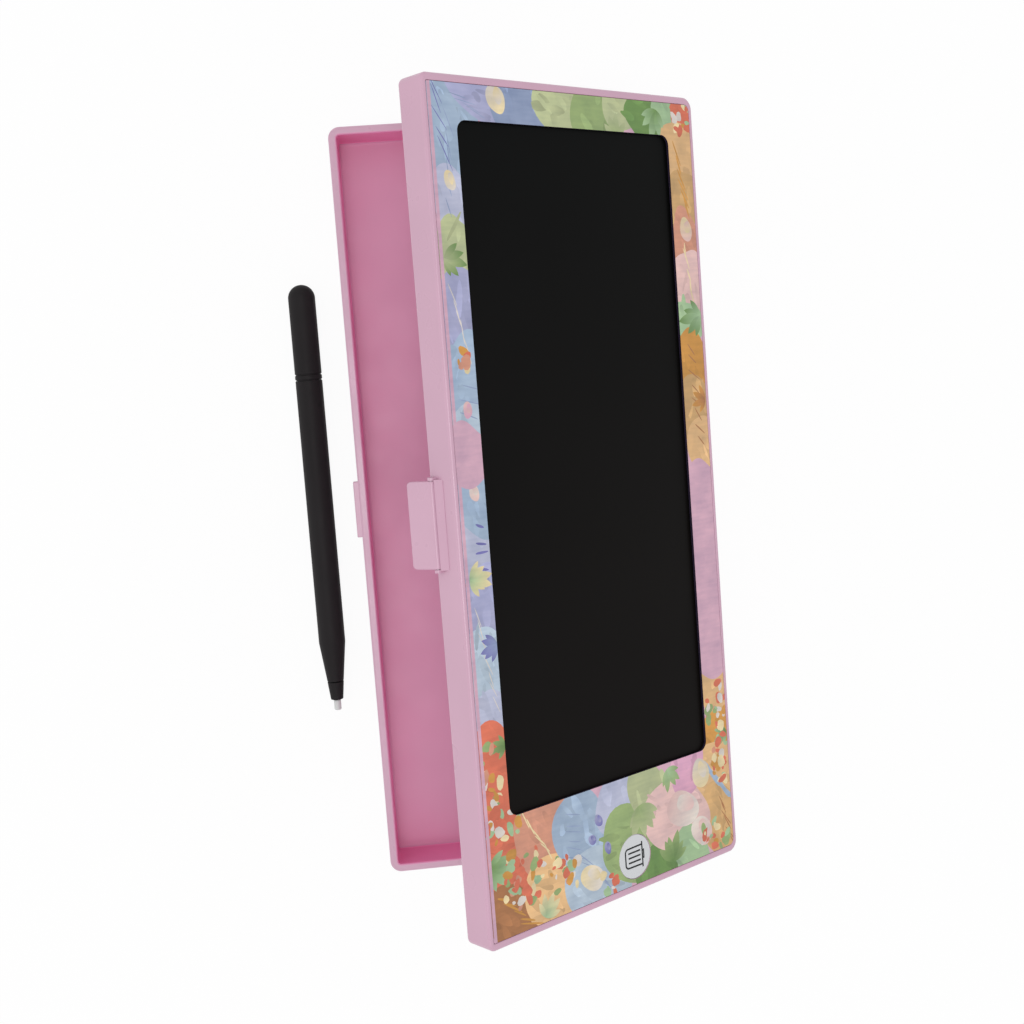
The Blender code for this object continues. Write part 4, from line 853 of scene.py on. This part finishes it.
def blob(centre, length, width, turn, colour, far_colour, wobble=0.1, steps=12):
    """A round shape with a wavering edge, and a tone of its own."""
    phases = [uniform(0, tau) for _ in range(3)]
    outline = []
    for step in range(steps):
        angle = step / steps * tau
        waver = 1 + wobble * sum(sin(angle * (order + 2) + phase) / (order + 1)
                                 for order, phase in enumerate(phases))
        outline.append(on_ellipse(centre, length * waver, width * waver, turn, angle))
    return outline, toned(colour, TONES), toned(far_colour, FAR_TONES)


def patch(centre, length, width, turn, colour):
    """A wash with brush marks on it that are a little lighter or darker."""
    yield blob(centre, length, width, turn, toned(colour, PATCH_TONES),
               toned(colour, PATCH_FAR_TONES), steps=40)
    for _ in range(length * width // MARK_AREA):
        spot = scattered(centre, length * MARK_REACH, width * MARK_REACH, turn)
        yield blob(spot, uniform(*MARK_LENGTHS), uniform(*MARK_WIDTHS),
                   turn + uniform(*MARK_TURNS), toned(colour, MARK_TONES),
                   toned(colour, MARK_FAR_TONES), wobble=0.16, steps=14)


def strokes(start, far_x, far_y, count, length, width, heading, colour):
    """A row of brushed lines."""
    for number in range(count):
        share = (number + uniform(*STROKE_SHIFTS)) / (count - 1)
        spot = start.lerp(Vector((far_x, far_y)), share)
        reach = length * uniform(*STROKE_LENGTHS)
        yield blob(spot, reach, width / 2, heading + uniform(*STROKE_TURNS), colour, colour)


def fan(root, length, heading, count, colour, far_colour):
    """Leaves that spread from one root."""
    for number in range(count):
        share = number / (count - 1) - 1 / 2
        reach = length * (1 - abs(share) * FAN_LOSS) * uniform(*FAN_LENGTHS)
        turn = heading + share * FAN_SPREAD + uniform(*FAN_TURNS)
        yield leaf(root, reach, turn), toned(colour, LEAF_TONES), toned(far_colour, TONES)


def leaf(root, length, heading):
    """The outline of a pointed leaf."""
    along = Vector((cos(heading), sin(heading)))
    across = Vector((-along.y, along.x))
    shares = [step / LEAF_STEPS for step in range(LEAF_STEPS + 1)]
    left, right = [[root + along * length * share + across * length * LEAF_WIDTH / 2 * side *
                    sin(share * pi) ** LEAF_POWER for share in shares] for side in (1, -1)]
    return left + right[-2:0:-1]


def pebble(centre, size, turn, colour, light):
    """A flat stone with a lighter patch."""
    yield blob(centre, size, size * PEBBLE_WIDTH, turn, colour, light, wobble=0.06, steps=28)
    yield blob(centre + LIGHT_AT * size, size * LIGHT_LENGTH, size * LIGHT_WIDTH, turn, light, colour,
               steps=20)


def bunch(centre, length, width, count):
    """Petals of mixed colours, close together."""
    for _ in range(count):
        size = uniform(*PETAL_SIZES)
        spot = scattered(centre, length, width, 0)
        petal_width = size * uniform(*PETAL_WIDTHS)
        turn = uniform(0, pi)
        colour = random.choice(PETALS)
        yield blob(spot, size, petal_width, turn, colour, colour, wobble=0.14, steps=11)


def margins():
    """The bare margins, in the sheet's own pink."""
    edge = PANEL_INSET - HALF_WIDTH
    outlines = [rectangle((-HALF_LENGTH, HALF_LENGTH), (edge, edge + STRIP))]
    shares = [step / BARE_STEPS for step in range(BARE_STEPS + 1)]
    for ends, low, high in ((BARE_BACK, WINDOW_Y[1] - GAP, HALF_WIDTH),
                            (BARE_FRONT, -HALF_WIDTH, WINDOW_Y[0] + GAP)):
        left, right = [[(end + sin(share * wave) * height, low + (high - low) * share)
                        for share in shares] for end, (wave, height) in zip(ends, BARE_WAVES)]
        outlines.append(left + right[::-1])
    return [(outline, PRINT_PINK, PRINT_PINK) for outline in outlines]


def toned(colour, tones):
    """A colour made darker or lighter by a random share."""
    tone = uniform(*tones)
    return [min(FULL, value * tone) for value in colour]


def scattered(centre, length, width, turn):
    """A random point in an ellipse."""
    reach = sqrt(random.random())
    return on_ellipse(centre, length * reach, width * reach, turn, uniform(0, tau))


def on_ellipse(centre, length, width, turn, angle):
    """The point of a turned ellipse at an angle."""
    across = Vector((length * cos(angle), width * sin(angle)))
    across.rotate(Matrix.Rotation(turn, 2))
    return centre + across


def rectangle(x_range, y_range):
    """The outline of a rectangle."""
    (left, right), (low, high) = x_range, y_range
    return [(left, low), (right, low), (right, high), (left, high)]


# Erase button
STEM_RADIUS = 1.6
FLANGE_LOW, FLANGE_HIGH = 0.3, 1.1
BUTTON_EDGE = 0.4
ICON_SINK = 0.01
ICON_RISE = 0.03
ICON_PAGE = (-12, 12)
LINE = 0.5
LEAST_MITRE = 0.5
BIN_HALF, BIN_LOW, BIN_HIGH = 2.9, -4.0, 3.1
BIN_BEND = 1.1
BIN_STEPS = 4
BIN_FLARE = 0.1
BIN_LID_REACH = 1.0
HANDLE_HALF, HANDLE_RISE = 1.2, 0.6
HANDLE_LINE = 0.45
SLOT_STEP = 1.45
SLOT_FOOT, SLOT_HEAD = 1.2, 0.8


def make_button():
    """The erase button, a soft-edged disc on its flange and stem, with a bin drawn on it."""
    low, high = BUTTON_LOW.z, BUTTON_HIGH.z
    profile = soften([
        (0, low), (STEM_RADIUS, low, FINE_EDGE), (STEM_RADIUS, low + FLANGE_LOW),
        (FLANGE_RADIUS, low + FLANGE_LOW, FINE_EDGE), (FLANGE_RADIUS, low + FLANGE_HIGH, FINE_EDGE),
        (BUTTON_RADIUS, low + FLANGE_HIGH), (BUTTON_RADIUS, high, BUTTON_EDGE), (0, high)])
    place = LID @ Matrix.Translation((BUTTON_AT.x * MM, BUTTON_AT.y * MM, 0))
    piece("erase_button_cap", lathe(profile, DISC_STEPS), place, "erase_button", "button_plastic",
          [BUTTON_WHITE], ["erase_button"])
    verts, triangles = fill(rectangle(ICON_PAGE, ICON_PAGE), [], bin_icon())
    inked = [(triangle, top) for triangle, top in triangles if top >= 0]
    shape = sheet(verts, inked, high - ICON_SINK, high + ICON_RISE)
    piece("erase_button_icon", shape, place, "erase_button", "black_plastic", [ICON_INK])


def stroke(points, width=LINE):
    """The outline of a line through points, with an even width."""
    points = [Vector(point) for point in points]
    runs = [(after - before).normalized() for before, after in zip(points, points[1:])]
    sides = [Vector((-run.y, run.x)) for run in runs]
    left, right = [], []
    for point, before, after in zip(points, sides[:1] + sides, sides + sides[-1:]):
        across = (before + after).normalized()
        across *= width / 2 / max(LEAST_MITRE, across.dot(before))
        left.append(point + across)
        right.append(point - across)
    return left + right[::-1]


def bin_icon():
    """A plain bin with a lid, drawn with its top towards the hinge."""
    centre, bend_z = BIN_HALF - BIN_BEND, BIN_LOW + BIN_BEND
    body = [(-BIN_HALF - BIN_FLARE, BIN_HIGH), *arc((-centre, bend_z), BIN_BEND, 2, 1, BIN_STEPS),
            *arc((centre, bend_z), BIN_BEND, 3, 1, BIN_STEPS), (BIN_HALF + BIN_FLARE, BIN_HIGH)]
    lid_half, handle_top = BIN_HALF + BIN_LID_REACH, BIN_HIGH + HANDLE_RISE
    handle = [(-HANDLE_HALF, BIN_HIGH), (-HANDLE_HALF, handle_top), (HANDLE_HALF, handle_top),
              (HANDLE_HALF, BIN_HIGH)]
    return [stroke(body), stroke([(-lid_half, BIN_HIGH), (lid_half, BIN_HIGH)]),
            stroke(handle, HANDLE_LINE),
            *[stroke([(x, BIN_LOW + SLOT_FOOT), (x, BIN_HIGH - SLOT_HEAD)])
              for x in (-SLOT_STEP, 0, SLOT_STEP)]]


# Latch
TIP_ROUND = 1.3
TIP_SHARE = 0.95
TIP_STEPS = 8
LATCH_EDGE = 0.3
EDGE_SHARE = 0.92
END_SHARE = 0.3
LATCH_CORNER = 0.45
CORNER_SHARE = 0.9
KNUCKLE_STEPS = 14
LATCH_SKIN = 0.65
POCKET_LOW, POCKET_HIGH = -3.8, -0.3
POCKET_CLEARANCE = 0.45


def drawn_in(radius, depth):
    """How far a corner's round is from its edge, at a depth from its side."""
    return radius - sqrt(max(0, radius ** 2 - max(0, radius - depth) ** 2))


def make_latch():
    """The latch: a plate with a half-round knuckle, soft corners at its tip and the lug's pocket."""
    low, high = LATCH_LOW, LATCH_HIGH
    middle = (high.y + low.y) / 2
    stations = [TIP_ROUND * (1 - cos(step / TIP_STEPS * pi / 2))
                for step in range(TIP_STEPS + 1)] + [high.x]
    stations += [2 * high.x - along for along in reversed(stations[:-1])]
    rings = []
    for along in stations:
        depth = min(along, 2 * high.x - along)
        inset = min(drawn_in(LATCH_EDGE, depth), LATCH_EDGE * EDGE_SHARE)
        half = (high.y - low.y) / 2 - inset
        corner = min(LATCH_CORNER, half * CORNER_SHARE)
        tip = drawn_in(TIP_ROUND, depth) * TIP_SHARE
        turn_z = low.z + tip + inset * END_SHARE + corner
        outline = arc((middle, PIVOT.z), half, 0, 2, KNUCKLE_STEPS)
        outline += arc((middle - half + corner, turn_z), corner, 2, 1, FILLET_STEPS)
        outline += arc((middle + half - corner, turn_z), corner, 3, 1, FILLET_STEPS)
        rings.append([Vector((along - high.x, y, z)) for y, z in outline])
    pocket_half = LUG_HALF + POCKET_CLEARANCE
    pocket = brick((-pocket_half, low.y + LATCH_SKIN, POCKET_LOW),
                   (pocket_half, high.y + OVERRUN, POCKET_HIGH))
    shape = combined(loft(rings), pocket)
    shape = combined(shape, rod(PIVOT, PIN_RADIUS, low.x - OVERRUN, high.x + OVERRUN))
    piece("latch_plate", shape, LATCH, "latch", "case_plastic", [CASE], ["latch"])


# Stylus
TAIL_WALL = 1.35
NECK_DEPTH = 0.3
RING_CHAMFER = 0.15
HAIR = 0.02
DOME_STEPS = 16
DOME_LEAD = 1
SPIGOT_EDGE = 0.2
TAPER_LENGTH = 12.8
TAPER_BEND = 6.0
SEAM_RADIUS = 2.65
SEAM_EDGE = 0.25
NOSE_WALL = 1.15
NOSE_SPIGOT = 6
NOSE_SEAM_EDGE = 0.12
NOSE_RADIUS = 2.0
NOSE_EDGE = 0.2
NIB_BORE = 0.9
NIB_STEM = 0.6
NIB_LENGTH = 3.3
NIB_EDGE = 0.45
CAP_STEPS = 4
BARREL_STEPS = 6
SAME_VERTEX = 1e-4


def make_stylus():
    """The stylus: a domed cap, a thin ring, the barrel, the nose and the nib, turned along X."""
    ring_low, ring_high = span("stylus_ring")
    cap_low, cap_high = span("stylus_tail_cap")
    barrel_low, barrel_high = span("stylus_barrel")
    nose_high, nib_low, nib_high = span("stylus_nose")[1], *span("stylus_nib")
    radius = (ring_high.y - ring_low.y) / 2
    centre = Vector((0, (ring_high.y + ring_low.y) / 2, (ring_high.z + ring_low.z) / 2))
    bore, neck = radius - TAIL_WALL, radius - NECK_DEPTH
    dome_end, cap_end, cap_seat = cap_low.x + radius, ring_low.x - GAP, ring_low.x - HAIR
    cap = arc((0, dome_end), radius, -1, 1, DOME_STEPS) + soften([
        (radius, dome_end + DOME_LEAD), (radius, cap_end, SEAM_EDGE), (neck, cap_end), (neck, cap_seat),
        (bore - GAP, cap_seat), (bore - GAP, cap_high.x, SPIGOT_EDGE), (0, cap_high.x)], CAP_STEPS)
    rim = radius - RING_CHAMFER
    ring_seat = barrel_low.x - HAIR
    ring = [(bore, ring_low.x), (rim, ring_low.x), (radius, ring_low.x + RING_CHAMFER),
            (radius, ring_high.x - RING_CHAMFER), (rim, ring_high.x), (neck, ring_high.x),
            (neck, ring_seat), (bore, ring_seat)]
    seam = barrel_high.x
    nose_bore = SEAM_RADIUS - NOSE_WALL
    taper = seam - TAPER_LENGTH
    barrel = soften([
        (bore, taper - radius), (bore, barrel_low.x), (radius, barrel_low.x, SEAM_EDGE),
        (radius, taper, TAPER_BEND), (SEAM_RADIUS, seam, FINE_EDGE), (nose_bore, seam),
        (nose_bore, taper - radius)], BARREL_STEPS)
    spigot = nose_bore - GAP
    nose = soften([
        (0, seam - NOSE_SPIGOT), (spigot, seam - NOSE_SPIGOT), (spigot, seam + GAP),
        (SEAM_RADIUS, seam + GAP, NOSE_SEAM_EDGE), (NOSE_RADIUS, nose_high.x, NOSE_EDGE),
        (NIB_BORE, nose_high.x), (NIB_BORE, nib_low.x - GAP), (0, nib_low.x - GAP)], CAP_STEPS)
    nib_radius, shoulder = (nib_high.y - nib_low.y) / 2, nib_high.x - NIB_LENGTH
    nib = soften([
        (0, nib_low.x), (NIB_STEM, nib_low.x), (NIB_STEM, shoulder), (nib_radius, shoulder, FINE_EDGE),
        (nib_radius, nib_high.x, NIB_EDGE), (0, nib_high.x)], BARREL_STEPS)
    for name, profile in (("tail_cap", cap), ("ring", ring + ring[:1]), ("barrel", barrel + barrel[:1]),
                          ("nose", nose), ("nib", nib)):
        look = ("nib_plastic", [NIB_GREY]) if name == "nib" else ("stylus_plastic", [STYLUS_BLACK])
        shape = lathe(profile, DISC_STEPS)
        bmesh.ops.remove_doubles(shape, verts=shape.verts, dist=SAME_VERTEX)
        piece(f"stylus_{name}_turned", along_x(shape, centre), TRAY, "stylus", *look, [f"stylus_{name}"])


# Screws
HEAD_HEIGHT = 0.8
HEAD_CHAMFER = 0.25
HEAD_EDGE = 0.05
SHANK_RADIUS = 1.0
TIP_LENGTH = 1
TIP_RADIUS = 0.4
SCREW_STEPS = 40
CROSS_HALF = 0.25
CROSS_REACH = 1.15
CROSS_DEPTH = 0.45
COVER_SCREWS, BOARD_SCREWS = 6, 2


def make_screw(name, node, body, head_up):
    """A pan-head screw with a cross recess, in place of a CAD screw."""
    low, high = span(node, LID)
    radius, length = (high.x - low.x) / 2, high.z - low.z
    profile = soften([
        (0, 0), (radius, 0, HEAD_CHAMFER), (radius, HEAD_HEIGHT, HEAD_EDGE), (SHANK_RADIUS, HEAD_HEIGHT),
        (SHANK_RADIUS, length - TIP_LENGTH), (TIP_RADIUS, length, FINE_EDGE), (0, length)], SMALL_STEPS)
    shape = lathe(profile, SCREW_STEPS)
    for x, y in ((CROSS_REACH, CROSS_HALF), (CROSS_HALF, CROSS_REACH)):
        shape = combined(shape, brick((-x, -y, -OVERRUN), (x, y, CROSS_DEPTH)))
    turn = Matrix.Rotation(uniform(0, pi), 4, "Z")
    flip = Matrix.Rotation(pi, 4, "X") if head_up else Matrix.Identity(4)
    start = ((low.x + high.x) / 2, (low.y + high.y) / 2, high.z if head_up else low.z)
    piece(name, moved(shape, Matrix.Translation(start) @ flip @ turn), LID, body, "steel", [STEEL], [node])


def make_screws():
    """All the screws: six in the cover, two on the circuit board and one in the battery door."""
    for kind, count, head_up in (("cover", COVER_SCREWS, False), ("board", BOARD_SCREWS, True)):
        for number in range(1, count + 1):
            node = f"{kind}_screw_{number}"
            make_screw(f"{node}_cross", node, "lid", head_up)
    make_screw("door_screw_cross", "battery_door_screw", "battery_door", False)


# CAD nodes that stay, under their materials
KEPT = (
    (STEEL, "hinge_pin_1", "hinge_pin_2", "latch_pin", "coin_cell", "cell_contact_plus",
     "cell_contact_minus"),
    (CHIP, "driver_chip", "switch_body", "switch_plunger"), (LINING, "inner_cover", "battery_door"),
    (TAPE, "panel_tape"), (SCREEN, "writing_film"), (BACKING, "backing_board"),
    (LAMINATE, "circuit_board"), (FLEX, "film_tail"),
)

# Stage, light and camera, in metres, but the camera in millimetres and degrees
FLOOR_HALF = 6.0
FLOOR_DROP = 0.0001
FLOOR_WHITE = (0.97, 0.97, 0.97, 1)
SEEN_SHARE = 0.93
WORLD_LIGHT = 0.72
# Each square lamp: its place, what it looks at, its width and its power
LAMPS = (
    ("key", (0.12, -0.12, 1.35), (0, 0, 0), 0.5, 4.1),
    ("wedge", (-0.06, -1.2, 0.3), (0, 0, 0.04), 0.8, 1.2),
)
CAMERA_AT = (-39.269, -38.419, 464.678)
CAMERA_TURN = (-5.2618, -4.7714, 85.6612)
LENS = 50.176
SENSOR = 36


def make_stage():
    """A plain pale floor that stays white to the camera and keeps the shadow."""
    shape = bmesh.new()
    bmesh.ops.create_grid(shape, x_segments=1, y_segments=1, size=FLOOR_HALF)
    floor = placed("floor", to_mesh("floor", shape))
    floor.location.z = -FLOOR_DROP
    material = bpy.data.materials.new("floor")
    material.use_nodes = True
    material.node_tree.nodes.clear()
    made = Nodes(material.node_tree)
    pale = made.node("ShaderNodeBsdfDiffuse", {"Color": FLOOR_WHITE})
    glow = made.node("ShaderNodeEmission")
    seen = made.node("ShaderNodeMath", {0: made.seen_rays(), 1: SEEN_SHARE}, operation="MULTIPLY")
    mix = made.node("ShaderNodeMixShader", {0: seen.outputs[0], 1: pale.outputs[0], 2: glow.outputs[0]})
    made.node("ShaderNodeOutputMaterial", {0: mix.outputs[0]})
    floor.data.materials.append(material)
    floor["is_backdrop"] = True


def make_light():
    """A white world, plain as a light, and two soft lamps."""
    world = bpy.data.worlds.new("studio")
    bpy.context.scene.world = world
    world.use_nodes = True
    made = Nodes(world.node_tree)
    strength = made.node("ShaderNodeMapRange", {
        "Value": made.seen_rays(), "To Min": WORLD_LIGHT, "To Max": 1.0})
    background = world.node_tree.nodes["Background"]
    made.feed(background.inputs["Color"], (1, 1, 1, 1))
    made.feed(background.inputs["Strength"], strength.outputs["Result"])
    for name, location, target, width, power in LAMPS:
        data = bpy.data.lights.new(name, "AREA")
        data.size = width
        data.energy = power
        lamp = placed(name, data)
        lamp.location = location
        lamp.rotation_euler = (Vector(target) - lamp.location).to_track_quat("-Z", "Y").to_euler()


def make_camera():
    """The camera at the photograph's place."""
    data = bpy.data.cameras.new("camera")
    data.lens = LENS
    data.sensor_width = SENSOR
    camera = placed("camera", data)
    camera.location = Vector(CAMERA_AT) * MM
    camera.rotation_euler = [radians(angle) for angle in CAMERA_TURN]
    bpy.context.scene.camera = camera


make_tray()
make_lid()
make_panel()
make_button()
make_latch()
make_stylus()
make_screws()
for material, *nodes in KEPT:
    for node in nodes:
        mesh = frame["nodes"][node].data
        mesh.materials.clear()
        mesh.materials.append(material)
make_stage()
make_light()
make_camera()
bpy.context.scene.view_settings.view_transform = "Standard"

sizes = {"cad": CAD_BOX, "visual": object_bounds()}
{name: [list(corner) for corner in box] for name, box in sizes.items()}
